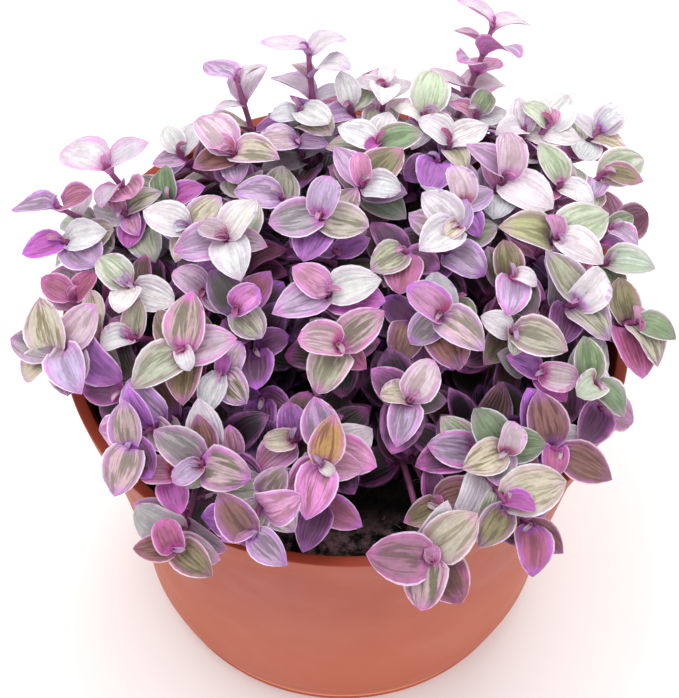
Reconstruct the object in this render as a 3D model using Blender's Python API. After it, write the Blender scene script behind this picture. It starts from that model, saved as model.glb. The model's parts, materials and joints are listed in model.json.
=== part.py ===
# Potted turtle vine: a creeping plant with small pink, cream and green leaves in a round plastic pot.
# Metres, +Z up. The pot's foot stands on z = 0, the pot's axis is the Z axis, and the front is towards -Y.

import math
import random

import bmesh
import bpy
import numpy as np
from mathutils import Vector
from mathutils.bvhtree import BVHTree

MM = 0.001
GAP = 0.3 * MM  # clearance between neighbouring solids
UP = Vector((0, 0, 1))

# Pot
POT_HEIGHT = 110 * MM
RIM_RADIUS = 75 * MM
RIM_WIDTH = 3.2 * MM
RIM_ROUND = 0.5 * MM
COLLAR_HEIGHT = 8 * MM
COLLAR_RADIUS = 73.5 * MM
COLLAR_CHAMFER = 2.5 * MM
BODY_TOP_RADIUS = 71.9 * MM
BODY_LOW_RADIUS = 57.9 * MM
BODY_LOW_HEIGHT = 11 * MM
BODY_FLARE = 1.25  # above 1 the wall curves outwards as it rises
BODY_RINGS = (0, 0.3, 0.6, 0.85, 1)  # shares of the wall's height
TUCK_RINGS = (0, 45, 90)  # degrees around the rounded step over the foot
SEAM_STEP = 0.7 * MM
FOOT_RADIUS = 53.6 * MM
FOOT_HEIGHT = 2.4 * MM
TUCK_RADIUS = 54.4 * MM
WALL = 2.0 * MM
BASE_THICKNESS = 2.6 * MM
INNER_LOW_HEIGHT = 16 * MM  # above this the inside runs along the outside
DRAIN_COUNT = 5
DRAIN_RADIUS = 4 * MM
DRAIN_CIRCLE = 34 * MM
DRAIN_SIDES = 12
POT_SIDES = 48

# Soil
SOIL_EDGE_HEIGHT = 99 * MM
SOIL_CROWN = 1.5 * MM
SOIL_SIDES = 36

# Vines
STEM_RADIUS = 0.95 * MM
STEM_SIDES = 5
STEM_RINGS = 4
BUD_LENGTH = 6.0 * MM
BUD_START = 0.8  # share of the stem's radius where the rolled young leaf begins
LEAF_THICKNESS = 1.0 * MM
LEAF_WIDTH = 0.72  # of its length
LEAF_SHORTEST = 9 * MM
LEAF_LONGEST = 19 * MM
LEAF_CUP = 0.10  # rise of the margins over the midrib, of the length
LEAF_SECTIONS = ((0.36, 1.0, 0.06), (0.74, 0.66, 0.042))  # place along it, share of its width, rise of the midrib
TIP_DROP = 0.05
ROOT_REACH = 0.62  # how far out a stem is rooted, of its tip's distance from the axis
ROOT_LIMIT = 60 * MM
BARE_FRONT = -42 * MM  # no stem is rooted in front of this, where the soil lies open
BARE_HALF_WIDTH = 46 * MM
MOUND_HEIGHT = 30 * MM  # of the foliage over the rim's plane, at the axis
MOUND_AT_RIM = 14 * MM
MOUND_FLAT = 2.2
OVERHANG_HEIGHT = 5 * MM
FRONT_LOWERING = 0.3
TIP_UPWARD = 0.75  # shares of the three directions that a tip faces
TIP_OUTWARD = 0.45
TIP_TO_VIEW = 0.45
TALL_LIFT = 10  # millimetres over the mound from which a shoot is a tall one and leans away from the view
TALL_BLEND = 4  # millimetres below that in which the lean sets in
ROOT_TRIES = 24
ROOT_SPREAD = 16 * MM
GOLDEN_ANGLE = math.radians(137.5)
FIRST_NODE = 1.0 * MM  # from the tip to the top leaf's base
NODE_SPACING = 1.3 * MM
TIER_SPACING = 6.5 * MM  # between the pairs of leaves on a tall shoot
START_HOLDS = (0.4, 0.65, 0.9, 1.15)  # how long a stem keeps its first direction, of its span
END_HOLDS = (0.35, 0.2)  # how early it takes its last direction
FORK_SHARES = (0.55, 0.45, 0.65, 0.35, 0.75)
FORK_RISE = 10 * MM
SEED = 11

# Ways to shift a leaf that meets another shape: how far it is raised, how far it is turned, both in radians,
# and its share of its full length, mildest first
LEAF_RISE = 0.20
RISE_STEP = 0.13
SWING_STEP = 0.1
CUT_STEP = 0.1
SWING_COST = 1.5
CUT_COST = 2.0
LEAF_TRIES = sorted(
    ((LEAF_RISE + rise * RISE_STEP, swing * SWING_STEP, 1 - cut * CUT_STEP)
     for rise in range(-4, 6) for swing in range(-2, 3) for cut in range(4)),
    key=lambda tried: abs(tried[0] - LEAF_RISE) + abs(tried[1]) * SWING_COST + (1 - tried[2]) * CUT_COST,
)

# Shoots that hang over the rim at the back: direction from the axis in degrees, how far the tip hangs below
# the rim in millimetres, and the turn of the first leaf in degrees
HANGING = ((30, 16, 20), (50, 17, 100), (68, 15, 60), (87, 17, 10))
HANG_OUT = 10 * MM
HANG_OUTWARD = 0.9  # shares of the two directions that a hanging tip faces
HANG_DOWNWARD = 0.25
HANG_LEAVES = (14 * MM, 15 * MM, 13 * MM, 12 * MM)
LEAF_TURN = 98

# Where the plant was seen from, which turns a place in the 679 x 698 picture into a place on the mound
VIEW_WIDTH = 679
VIEW_HEIGHT = 698
VIEW_FOCAL = 2420  # in picture units
VIEW_ELEVATION = math.radians(54.6)
VIEW_ROLL = math.radians(0.8)
VIEW_DISTANCE = 0.65
VIEW_AIM = Vector((-1.6 * MM, 0, POT_HEIGHT - 12.9 * MM))
HALVINGS = 40  # of the stretch in which a place's distance lies

# Each vine is a list of shoots, the first one rooted and the others branching from it. A shoot is the place
# of its tip in the picture, how far it stands over the mound in millimetres, and its leaves, each a
# direction in the picture in degrees and a length in picture units.
VINES = (
    (((183, 350), 6, ((78, 60), (218, 70), (12, 58), (268, 58), (128, 56))),),
    (((221, 372), 2, ((248, 46), (310, 44), (60, 40))),
     ((262, 400), -8, ((270, 50), (200, 40), (330, 40)))),
    (((52, 358), 3, ((100, 58), (168, 48), (300, 58), (48, 56), (275, 56))),),
    (((128, 338), 1, ((205, 34), (80, 40), (150, 34))),
     ((121, 393), -3, ((172, 42), (345, 44)))),
    (((127, 452), 4, ((92, 50), (258, 58), (300, 46))),),
    (((200, 465), 5, ((343, 60), (148, 62), (238, 34), (103, 46))),
     ((232, 462), -3, ((325, 48), (95, 26)))),
    (((168, 480), 0, ((290, 44), (185, 20))),
     ((205, 498), -6, ((262, 50), (310, 40))),
     ((174, 549), 3, ((108, 38), (182, 44), (322, 52)))),
    (((250, 541), 4, ((125, 58), (318, 52), (205, 24))),),
    (((322, 465), 6, ((76, 56), (254, 62), (225, 54), (352, 44))),),
    (((326, 448), 1, ((103, 54), (338, 58))),
     ((291, 440), 0, ((188, 36), (222, 50), (100, 42)))),
    (((292, 488), -2, ((238, 46), (170, 40))),
     ((322, 505), -3, ((248, 56), (330, 50)))),
    (((410, 400), 5, ((58, 50), (253, 54), (178, 30), (140, 52), (0, 44))),),
    (((432, 562), 4, ((174, 72), (259, 60), (40, 66), (301, 66))),),
    (((508, 511), 4, ((232, 54), (336, 36), (14, 66))),
     ((530, 525), 0, ((270, 56), (318, 48)))),
    (((506, 452), 5, ((203, 52), (128, 52), (2, 48), (262, 52), (320, 56))),),
    (((438, 508), -3, ((205, 44), (15, 56), (100, 40))),
     ((474, 452), 0, ((172, 52), (132, 50), (195, 60)))),
    (((560, 452), 3, ((328, 62), (262, 36), (108, 60))),),
    (((598, 384), 5, ((212, 38), (308, 50), (98, 48))),
     ((603, 408), 0, ((235, 52),))),
    (((514, 330), 5, ((335, 60), (158, 38), (262, 30))),
     ((543, 372), 2, ((350, 40), (158, 42), (310, 44)))),
    (((578, 301), 5, ((128, 62), (48, 44), (311, 56), (250, 50))),),
    (((558, 236), 6, ((322, 56), (22, 58), (172, 66))),),
    (((513, 276), 4, ((258, 48), (290, 50), (100, 42), (330, 44))),
     ((455, 300), -4, ((180, 50), (300, 34)))),
    (((440, 314), 5, ((150, 54), (318, 62), (225, 44), (290, 62))),
     ((412, 322), -3, ((250, 50), (140, 40)))),
    (((638, 322), 4, ((332, 46), (293, 56), (105, 46), (280, 66), (75, 34), (40, 28))),),
    (((608, 262), 3, ((348, 52), (300, 40), (215, 34), (270, 40))),
     ((612, 226), 2, ((315, 36), (25, 30), (150, 36)))),
    (((458, 226), 5, ((216, 54), (138, 52), (70, 34))),
     ((446, 250), -1, ((322, 52), (240, 40))),
     ((462, 202), 3, ((112, 40), (20, 36), (300, 40)))),
    (((506, 174), 5, ((150, 52), (98, 52), (322, 62))),),
    (((562, 182), 2, ((125, 46), (325, 44), (215, 34))),
     ((604, 172), 3, ((340, 42), (18, 46), (250, 26)))),
    (((600, 130), 4, ((40, 34), (150, 34), (330, 40), (240, 34))),
     ((590, 152), -2, ((190, 36), (350, 30)))),
    (((550, 124), 6, ((148, 36), (52, 40), (340, 40))),
     ((525, 128), 4, ((200, 38), (100, 34), (340, 46)))),
    (((494, 22), 22, ((160, 46), (354, 42), (172, 38), (318, 40), (196, 26), (20, 24), (177, 46),
                      (6, 40))),),
    (((308, 48), 18, ((187, 50), (14, 44), (350, 46), (152, 24), (166, 46), (8, 42), (205, 40),
                      (35, 30))),),
    (((236, 76), 14, ((166, 34), (22, 22), (55, 38), (205, 32))),),
    (((105, 165), 12, ((168, 46), (18, 54), (255, 38), (310, 32))),),
    (((55, 205), 10, ((195, 46), (8, 44), (60, 30))),
     ((62, 240), 4, ((205, 44), (5, 50), (320, 50)))),
    (((385, 86), 8, ((262, 30), (170, 28), (20, 30))),
     ((350, 105), 4, ((110, 34), (40, 36), (200, 34)))),
    (((377, 143), 4, ((165, 44), (10, 50), (70, 40))),
     ((362, 182), 3, ((100, 26), (345, 44), (128, 48), (40, 56)))),
    (((300, 108), 5, ((320, 40), (200, 34), (60, 30))),
     ((297, 140), 0, ((190, 44), (350, 30)))),
    (((232, 150), 5, ((138, 50), (345, 54), (202, 46))),
     ((178, 150), 0, ((120, 26), (60, 34), (200, 24)))),
    (((425, 112), 5, ((75, 44), (170, 34), (330, 40), (250, 36))),),
    (((450, 140), 3, ((150, 40), (20, 44), (300, 36))),
     ((438, 160), 0, ((250, 46), (215, 44))),
     ((478, 112), 1, ((60, 20), (160, 24), (10, 34)))),
    (((320, 213), 6, ((70, 40), (195, 56), (343, 54), (250, 52))),),
    (((225, 236), 6, ((45, 50), (290, 54), (197, 58), (350, 44))),
     ((205, 290), -2, ((150, 40), (330, 44)))),
    (((188, 226), 3, ((165, 48), (40, 46), (250, 40))),
     ((282, 196), -1, ((180, 50), (300, 36)))),
    (((328, 291), 6, ((148, 44), (10, 58), (203, 64), (350, 62))),
     ((335, 250), -3, ((180, 40), (20, 40)))),
    (((338, 345), 6, ((178, 50), (35, 62), (247, 58), (322, 38))),),
    (((236, 308), 3, ((30, 36), (310, 44), (125, 50))),
     ((255, 350), -4, ((275, 50), (20, 40)))),
    (((405, 250), 1, ((215, 46), (262, 50), (330, 44))),),
    (((128, 284), 4, ((138, 42), (262, 40), (340, 46))),
     ((70, 296), 0, ((150, 34), (40, 38)))),
    (((122, 212), 3, ((30, 44), (300, 30), (170, 40), (262, 36))),
     ((168, 200), 1, ((95, 36), (20, 44)))),
)


class View:
    """The direction that a place in the picture is seen along."""

    def __init__(self):
        self.forward = Vector((0, math.cos(VIEW_ELEVATION), -math.sin(VIEW_ELEVATION)))
        level = Vector((1, 0, 0))
        upright = level.cross(self.forward)
        self.right = level * math.cos(VIEW_ROLL) + upright * math.sin(VIEW_ROLL)
        self.above = upright * math.cos(VIEW_ROLL) - level * math.sin(VIEW_ROLL)
        self.eye = VIEW_AIM - self.forward * VIEW_DISTANCE

    def ray(self, place):
        across = (place[0] - VIEW_WIDTH / 2) / VIEW_FOCAL
        down = (place[1] - VIEW_HEIGHT / 2) / VIEW_FOCAL
        return self.forward + self.right * across - self.above * down

    def units_per_metre(self, point):
        return VIEW_FOCAL / (point - self.eye).dot(self.forward)


VIEW = View()


def mound_height(x, y):
    """Height of the foliage's surface over the plane of the rim."""
    reach = math.hypot(x, y) / RIM_RADIUS
    height = MOUND_HEIGHT - (MOUND_HEIGHT - MOUND_AT_RIM) * reach**MOUND_FLAT
    front = min(max(-y / RIM_RADIUS, 0), 1)
    return max(height * (1 - FRONT_LOWERING * front), OVERHANG_HEIGHT)


def soil_height(x, y):
    return SOIL_EDGE_HEIGHT + SOIL_CROWN * (1 - (x * x + y * y) / inner_radius(SOIL_EDGE_HEIGHT) ** 2)


def body_radius(z):
    share = (z - BODY_LOW_HEIGHT) / (POT_HEIGHT - COLLAR_HEIGHT - BODY_LOW_HEIGHT)
    return BODY_LOW_RADIUS + (BODY_TOP_RADIUS - BODY_LOW_RADIUS) * max(share, 0) ** BODY_FLARE


def inner_radius(z):
    """Radius of the pot's inside, which narrows faster near the foot."""
    if z >= INNER_LOW_HEIGHT:
        return body_radius(z) - WALL
    share = (z - BASE_THICKNESS) / (INNER_LOW_HEIGHT - BASE_THICKNESS)
    floor_radius = FOOT_RADIUS - WALL
    return floor_radius + (body_radius(INNER_LOW_HEIGHT) - WALL - floor_radius) * share


class Shoot:
    """A stem's tip, the way it faces, its leaves, each a direction and a length, and its line of points.

    The leaves of a tall shoot stand in pairs along it, and those of the others sit close together at the tip.
    """

    def __init__(self, tip, axis, leaves, tall=False):
        self.tip = tip
        self.axis = axis
        self.leaves = leaves
        self.tall = tall
        self.line = None


def seen_shoot(place, lift, leaves):
    """The shoot whose tip is seen at a place in the picture, standing on the mound."""
    ray = VIEW.ray(place)
    near = VIEW_DISTANCE / 2
    far = VIEW_DISTANCE * 2
    for _ in range(HALVINGS):
        middle = (near + far) / 2
        tip = VIEW.eye + ray * middle
        if tip.z > POT_HEIGHT + mound_height(tip.x, tip.y) + lift * MM:
            near = middle
        else:
            far = middle
    outward = Vector((tip.x, tip.y, 0)) / RIM_RADIUS
    towards_view = (VIEW.eye - tip).normalized() * min(max((TALL_LIFT - lift) / TALL_BLEND, 0), 1)
    axis = (UP * TIP_UPWARD + outward * TIP_OUTWARD + towards_view * TIP_TO_VIEW).normalized()
    scale = VIEW.units_per_metre(tip)
    placed = []
    for degrees, units in leaves:
        angle = math.radians(degrees)
        flat = VIEW.right * math.cos(angle) + VIEW.above * math.sin(angle)
        along = flat - VIEW.forward * (flat.dot(axis) / VIEW.forward.dot(axis))
        length = min(max(units / scale * along.length, LEAF_SHORTEST), LEAF_LONGEST)
        placed.append((along.normalized(), length))
    return Shoot(tip, axis, placed, lift >= TALL_LIFT)


def hanging_shoot(degrees, drop, turn):
    """A shoot that hangs over the rim on the side away from the view."""
    angle = math.radians(degrees)
    outward = Vector((math.cos(angle), math.sin(angle), 0))
    tip = outward * (RIM_RADIUS + HANG_OUT) + UP * (POT_HEIGHT - drop * MM)
    axis = (outward * HANG_OUTWARD - UP * HANG_DOWNWARD).normalized()
    side = UP.cross(outward)
    above = axis.cross(side)
    placed = []
    for index, length in enumerate(HANG_LEAVES):
        around = math.radians(turn + index * LEAF_TURN)
        placed.append((side * math.cos(around) + above * math.sin(around), length))
    return Shoot(tip, axis, placed)


def bezier(points, share):
    rest = 1 - share
    start, leaving, arriving, end = points
    return start * rest**3 + leaving * 3 * rest**2 * share + arriving * 3 * rest * share**2 + end * share**3


def line_along(curve):
    return [bezier(curve, index / STEM_RINGS) for index in range(STEM_RINGS + 1)]


def point_before_end(points, distance):
    """The point on a line at a distance from its end, measured along it."""
    for index in range(len(points) - 1, 0, -1):
        step = (points[index] - points[index - 1]).length
        if step >= distance:
            return points[index].lerp(points[index - 1], distance / step)
        distance -= step
    return points[0]


def tube(points, radius, axis):
    """A closed stem around a line of points, ending in a pointed bud along the axis."""
    vertices = []
    faces = []
    side = Vector((1, 0, 0))
    for index, point in enumerate(points):
        ahead = points[min(index + 1, len(points) - 1)]
        behind = points[max(index - 1, 0)]
        along = (ahead - behind).normalized()
        if index == len(points) - 1:
            along = (along + axis).normalized()
        side = (side - along * side.dot(along)).normalized()
        across = along.cross(side)
        ring = radius * (BUD_START if index == len(points) - 1 else 1)
        for corner in range(STEM_SIDES):
            angle = 2 * math.pi * corner / STEM_SIDES
            vertices.append(point + (side * math.cos(angle) + across * math.sin(angle)) * ring)
    for index in range(len(points) - 1):
        low = index * STEM_SIDES
        for corner in range(STEM_SIDES):
            following = (corner + 1) % STEM_SIDES
            high = low + STEM_SIDES
            faces.append((low + corner, low + following, high + following, high + corner))
    faces.append(tuple(range(STEM_SIDES - 1, -1, -1)))
    top = (len(points) - 1) * STEM_SIDES
    vertices.append(points[-1] + axis * BUD_LENGTH)
    for corner in range(STEM_SIDES):
        faces.append((top + corner, top + (corner + 1) % STEM_SIDES, len(vertices) - 1))
    return vertices, faces


def leaf(base, along, up, length, grow=0.0):
    """A pointed egg-shaped leaf, thickest along its midrib, with its margins raised."""
    side = along.cross(up)
    half = length * LEAF_WIDTH / 2 + grow
    thick = LEAF_THICKNESS / 2 + grow
    length = length + grow
    vertices = [base]
    for share, width, arch in LEAF_SECTIONS:
        middle = base + along * (share * length) + up * (arch * length)
        cup = up * (LEAF_CUP * width * length)
        vertices.append(middle - side * (half * width) + cup)
        vertices.append(middle + side * (half * width) + cup)
        vertices.append(middle + up * thick)
        vertices.append(middle - up * thick)
    vertices.append(base + along * length - up * (TIP_DROP * length))
    top = ((0, 3, 1), (0, 2, 3), (1, 3, 7), (1, 7, 5), (2, 7, 3), (2, 6, 7), (5, 7, 9), (6, 9, 7))
    under = {3: 4, 7: 8}
    faces = list(top)
    for face in top:
        faces.append(tuple(under.get(corner, corner) for corner in reversed(face)))
    return vertices, faces


class Space:
    """The shapes placed so far, for finding out whether another one is clear of them."""

    def __init__(self):
        self.lows = []
        self.highs = []
        self.trees = []
        self.owners = []

    def add(self, shape, owner):
        corners = np.array(shape[0])
        self.lows.append(corners.min(axis=0))
        self.highs.append(corners.max(axis=0))
        self.trees.append(BVHTree.FromPolygons(*shape))
        self.owners.append(owner)

    def clear(self, shape, owner):
        corners = np.array(shape[0])
        low = corners.min(axis=0)
        high = corners.max(axis=0)
        near = (np.array(self.lows) < high).all(axis=1) & (np.array(self.highs) > low).all(axis=1)
        tree = None
        for index in np.nonzero(near)[0]:
            if self.owners[index] == owner:
                continue
            tree = tree or BVHTree.FromPolygons(*shape)
            if tree.overlap(self.trees[index]):
                return False
        return True


def above_soil(vertices, clearance):
    for point in vertices:
        inside = math.hypot(point.x, point.y) < RIM_RADIUS
        if inside and point.z < soil_height(point.x, point.y) + clearance:
            return False
    return True


def roots(tip, chooser):
    """Places on the soil for a stem to grow from, the likeliest first."""
    centre = Vector((tip.x, tip.y, 0)) * ROOT_REACH
    turn = chooser.uniform(0, 2 * math.pi)
    for index in range(ROOT_TRIES):
        angle = turn + index * GOLDEN_ANGLE
        spread = ROOT_SPREAD * math.sqrt(index / ROOT_TRIES)
        place = centre + Vector((math.cos(angle), math.sin(angle), 0)) * spread
        if place.length > ROOT_LIMIT:
            place *= ROOT_LIMIT / place.length
        if place.y < BARE_FRONT and abs(place.x) < BARE_HALF_WIDTH:
            place.y = BARE_FRONT + spread / 2
        yield place + UP * (soil_height(place.x, place.y) + GAP)


def curves(start, direction, shoot):
    """Curved ways from a start to a shoot's tip, the likeliest first, as Bezier control points."""
    outward = Vector((shoot.tip.x, shoot.tip.y, 0)).normalized()
    distance = (shoot.tip - start).length
    arrivals = (shoot.axis, (shoot.axis + outward).normalized(), (outward - UP).normalized(), -UP)
    for leaving in START_HOLDS:
        for arrival in arrivals:
            for hold in END_HOLDS:
                first = start + direction * (leaving * distance)
                second = shoot.tip - arrival * (hold * distance)
                yield (start, first, second, shoot.tip)


def place_stem(shoot, starts, space, owner):
    """The shape of a shoot's stem on the first way that is clear of the pot, the soil and other vines, or None."""
    for start, direction in starts:
        for curve in curves(start, direction, shoot):
            line = line_along(curve)
            grown = tube(line, STEM_RADIUS + GAP, shoot.axis)
            if above_soil(grown[0][STEM_SIDES:], GAP) and space.clear(grown, owner):
                shoot.line = line
                shape = tube(line, STEM_RADIUS, shoot.axis)
                space.add(shape, owner)
                return shape
    return None


def place_leaf(shoot, index, space, owner):
    """The shape of a shoot's leaf, tilted, turned or shortened as little as keeps it clear, or None."""
    along, length = shoot.leaves[index]
    distance = FIRST_NODE + index * NODE_SPACING
    if shoot.tall:
        distance = FIRST_NODE + index // 2 * TIER_SPACING + index % 2 * NODE_SPACING
    base = point_before_end(shoot.line, distance)
    for rise, swing, share in LEAF_TRIES:
        turned = along * math.cos(swing) + shoot.axis.cross(along) * math.sin(swing)
        pointing = turned * math.cos(rise) + shoot.axis * math.sin(rise)
        up = shoot.axis * math.cos(rise) - turned * math.sin(rise)
        grown = leaf(base, pointing, up, length * share, GAP)
        if above_soil(grown[0], GAP) and space.clear(grown, owner):
            shape = leaf(base, pointing, up, length * share)
            space.add(shape, owner)
            return shape
    return None


def forks(shoot):
    """Places on a stem for another one to branch from, the likeliest first."""
    length = sum((end - start).length for start, end in zip(shoot.line, shoot.line[1:]))
    for share in FORK_SHARES:
        yield point_before_end(shoot.line, length * (1 - share))


def plan_vines(space):
    """The shapes of every vine: its stems first, for all vines, then the leaves around them."""
    vines = []
    for shoots in VINES:
        vines.append([seen_shoot(*shoot) for shoot in shoots])
    for degrees, drop, turn in HANGING:
        vines.append([hanging_shoot(degrees, drop, turn)])
    chooser = random.Random(SEED)
    shapes = [[] for _ in vines]
    for owner, shoots in enumerate(vines):
        main = shoots[0]
        starts = [(root, UP) for root in roots(main.tip, chooser)]
        for shoot in shoots:
            if shoot is not main:
                starts = [(start, (shoot.tip - start + UP * FORK_RISE).normalized()) for start in forks(main)]
            shape = place_stem(shoot, starts, space, owner)
            if shape:
                shapes[owner].append(shape)
            elif shoot is main:
                break
    for owner, shoots in enumerate(vines):
        for shoot in shoots:
            for index in range(len(shoot.leaves) if shoot.line else 0):
                shape = place_leaf(shoot, index, space, owner)
                if shape:
                    shapes[owner].append(shape)
    return [shape for shape in shapes if shape]


def material(name, colour, roughness):
    made = bpy.data.materials.new(name)
    made.use_nodes = True
    shader = made.node_tree.nodes["Principled BSDF"]
    shader.inputs["Base Color"].default_value = (*colour, 1)
    shader.inputs["Roughness"].default_value = roughness
    shader.inputs["Metallic"].default_value = 0
    return made


def new_mesh(name, vertices, faces):
    mesh = bpy.data.meshes.new(name)
    mesh.from_pydata([tuple(point) for point in vertices], [], faces)
    return mesh


def mesh_object(name, mesh):
    made = bpy.data.objects.new(name, mesh)
    bpy.context.scene.collection.objects.link(made)
    return made


def turned(name, profile, sides):
    """A solid of revolution from (radius, height) points that run up its outside and end on the axis."""
    shape = bmesh.new()
    points = [shape.verts.new((radius, 0, height)) for radius, height in profile]
    edges = [shape.edges.new(pair) for pair in zip(points, points[1:])]
    bmesh.ops.spin(
        shape, geom=points + edges, axis=UP, cent=(0, 0, 0), steps=sides, angle=2 * math.pi, use_merge=True
    )
    bmesh.ops.remove_doubles(shape, verts=shape.verts, dist=1e-6)
    bmesh.ops.recalc_face_normals(shape, faces=shape.faces)
    mesh = bpy.data.meshes.new(name)
    shape.to_mesh(mesh)
    shape.free()
    mesh.shade_smooth()
    mesh.set_sharp_from_angle(angle=math.radians(30))
    return mesh_object(name, mesh)


def apply_modifiers(made):
    """Replace an object's mesh by what its modifiers make of it."""
    graph = bpy.context.evaluated_depsgraph_get()
    shaped = bpy.data.meshes.new_from_object(made.evaluated_get(graph))
    made.modifiers.clear()
    made.data = shaped


def build_pot():
    top = POT_HEIGHT - COLLAR_HEIGHT
    body = []
    for share in BODY_RINGS:
        z = BODY_LOW_HEIGHT + share * (top - COLLAR_CHAMFER - BODY_LOW_HEIGHT)
        body.append((body_radius(z), z))
    low_radius = BODY_LOW_RADIUS - SEAM_STEP
    low_height = BODY_LOW_HEIGHT - SEAM_STEP
    tuck = []
    for degrees in TUCK_RINGS:
        angle = math.radians(degrees)
        radius = TUCK_RADIUS + (low_radius - TUCK_RADIUS) * math.sin(angle)
        tuck.append((radius, low_height - (low_height - FOOT_HEIGHT) * math.cos(angle)))
    outside = [(0, 0), (FOOT_RADIUS, 0), (FOOT_RADIUS, FOOT_HEIGHT), *tuck, *body]
    rim = [
        (COLLAR_RADIUS, top),
        (RIM_RADIUS, POT_HEIGHT - RIM_ROUND),
        (RIM_RADIUS - RIM_ROUND, POT_HEIGHT),
        (RIM_RADIUS - RIM_WIDTH + RIM_ROUND, POT_HEIGHT),
        (RIM_RADIUS - RIM_WIDTH, POT_HEIGHT - RIM_ROUND),
    ]
    inside = []
    for z in (top, 0.65 * top, 0.35 * top, INNER_LOW_HEIGHT, BASE_THICKNESS):
        inside.append((inner_radius(z), z))
    inside.append((0, BASE_THICKNESS))
    pot = turned("pot", outside + rim + inside, POT_SIDES)
    pot.data.materials.append(material("terracotta_plastic", (0.46, 0.16, 0.11), 0.5))
    cutters = bpy.data.collections.new("drain_holes")
    for index in range(DRAIN_COUNT):
        angle = 2 * math.pi * (index + 0.5) / DRAIN_COUNT
        foot = Vector((DRAIN_CIRCLE * math.cos(angle), DRAIN_CIRCLE * math.sin(angle), -BASE_THICKNESS))
        head = foot + UP * 3 * BASE_THICKNESS
        hidden_object(f"drain_hole_{index + 1}", prism(foot, head, DRAIN_RADIUS, DRAIN_SIDES), cutters)
    cut = pot.modifiers.new("drain holes", "BOOLEAN")
    cut.operand_type = "COLLECTION"
    cut.collection = cutters
    cut.solver = "EXACT"
    apply_modifiers(pot)
    remove_all(cutters)
    return pot


def prism(foot, head, radius, sides):
    """A closed upright cylinder."""
    vertices = []
    for end in (foot, head):
        for corner in range(sides):
            angle = 2 * math.pi * corner / sides
            vertices.append(end + Vector((math.cos(angle), math.sin(angle), 0)) * radius)
    faces = [tuple(range(sides - 1, -1, -1)), tuple(range(sides, 2 * sides))]
    for corner in range(sides):
        following = (corner + 1) % sides
        faces.append((corner, following, sides + following, sides + corner))
    return vertices, faces


def hidden_object(name, shape, collection):
    """An operand of a Boolean modifier."""
    made = bpy.data.objects.new(name, new_mesh(name, *shape))
    made.hide_render = True
    made.display_type = "WIRE"
    collection.objects.link(made)


def remove_all(collection):
    for made in list(collection.objects):
        bpy.data.objects.remove(made)
    bpy.data.collections.remove(collection)


def build_soil():
    edge = inner_radius(SOIL_EDGE_HEIGHT)
    bottom = BASE_THICKNESS + GAP
    profile = [(0, bottom)]
    for z in (bottom, INNER_LOW_HEIGHT, 0.4 * SOIL_EDGE_HEIGHT, 0.7 * SOIL_EDGE_HEIGHT, SOIL_EDGE_HEIGHT):
        profile.append((inner_radius(z) - GAP, z))
    for share in (0.75, 0.5, 0.25, 0):
        profile.append((edge * share, soil_height(edge * share, 0)))
    soil = turned("soil", profile, SOIL_SIDES)
    soil.data.materials.append(material("potting_soil", (0.03, 0.02, 0.015), 0.95))
    return soil


def build_vine(number, shapes):
    """One vine: its stems and leaves joined into one solid."""
    name = f"vine_{number:02d}"
    vine = mesh_object(name, new_mesh(name, *shapes[0]))
    parts = bpy.data.collections.new(name + "_leaves")
    for index, shape in enumerate(shapes[1:]):
        hidden_object(f"{name}_part_{index + 1}", shape, parts)
    join = vine.modifiers.new("leaves", "BOOLEAN")
    join.operation = "UNION"
    join.operand_type = "COLLECTION"
    join.collection = parts
    join.solver = "EXACT"
    apply_modifiers(vine)
    remove_all(parts)
    vine.data.materials.clear()
    vine.data.materials.append(VINE_MATERIALS[number % len(VINE_MATERIALS)])
    return vine


def as_shape(made):
    mesh = made.data
    return [made.matrix_world @ point.co for point in mesh.vertices], [tuple(face.vertices) for face in mesh.polygons]


for old in list(bpy.data.objects):
    bpy.data.objects.remove(old)

VINE_MATERIALS = [
    material("leaf_sage", (0.50, 0.52, 0.42), 0.45),
    material("leaf_pink", (0.66, 0.40, 0.52), 0.45),
    material("leaf_lilac", (0.60, 0.47, 0.62), 0.45),
]
space = Space()
space.add(as_shape(build_pot()), "pot")
space.add(as_shape(build_soil()), "soil")
for number, shapes in enumerate(plan_vines(space)):
    build_vine(number + 1, shapes)
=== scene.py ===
# Potted turtle vine: a plastic pot, its soil, and a cushion of creeping stems with small striped leaves.
# Metres, Z up, the pot's foot on z = 0, the side with the bare soil towards -Y.

import json
import math
import random

import bmesh
import bpy
import numpy as np
from mathutils import Matrix, Vector, noise
from mathutils.bvhtree import BVHTree

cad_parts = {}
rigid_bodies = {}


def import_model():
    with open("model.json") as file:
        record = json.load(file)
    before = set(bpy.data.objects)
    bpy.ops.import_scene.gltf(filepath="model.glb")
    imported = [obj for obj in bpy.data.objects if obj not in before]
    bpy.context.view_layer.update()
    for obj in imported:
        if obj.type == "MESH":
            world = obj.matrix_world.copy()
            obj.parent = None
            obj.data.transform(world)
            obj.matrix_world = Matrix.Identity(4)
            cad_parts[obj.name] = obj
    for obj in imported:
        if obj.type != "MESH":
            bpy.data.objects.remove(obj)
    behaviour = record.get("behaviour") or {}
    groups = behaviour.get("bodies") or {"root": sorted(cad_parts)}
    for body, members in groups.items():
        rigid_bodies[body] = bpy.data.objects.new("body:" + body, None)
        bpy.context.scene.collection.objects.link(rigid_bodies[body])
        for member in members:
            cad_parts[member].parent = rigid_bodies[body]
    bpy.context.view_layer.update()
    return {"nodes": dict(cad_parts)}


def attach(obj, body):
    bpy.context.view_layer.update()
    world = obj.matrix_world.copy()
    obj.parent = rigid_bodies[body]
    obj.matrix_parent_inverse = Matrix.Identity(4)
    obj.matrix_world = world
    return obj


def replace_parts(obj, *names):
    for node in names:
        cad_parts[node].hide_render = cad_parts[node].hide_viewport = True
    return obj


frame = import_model()
mm = 0.001
gap = 0.3 * mm  # between neighbouring solids
up = Vector((0, 0, 1))

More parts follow.
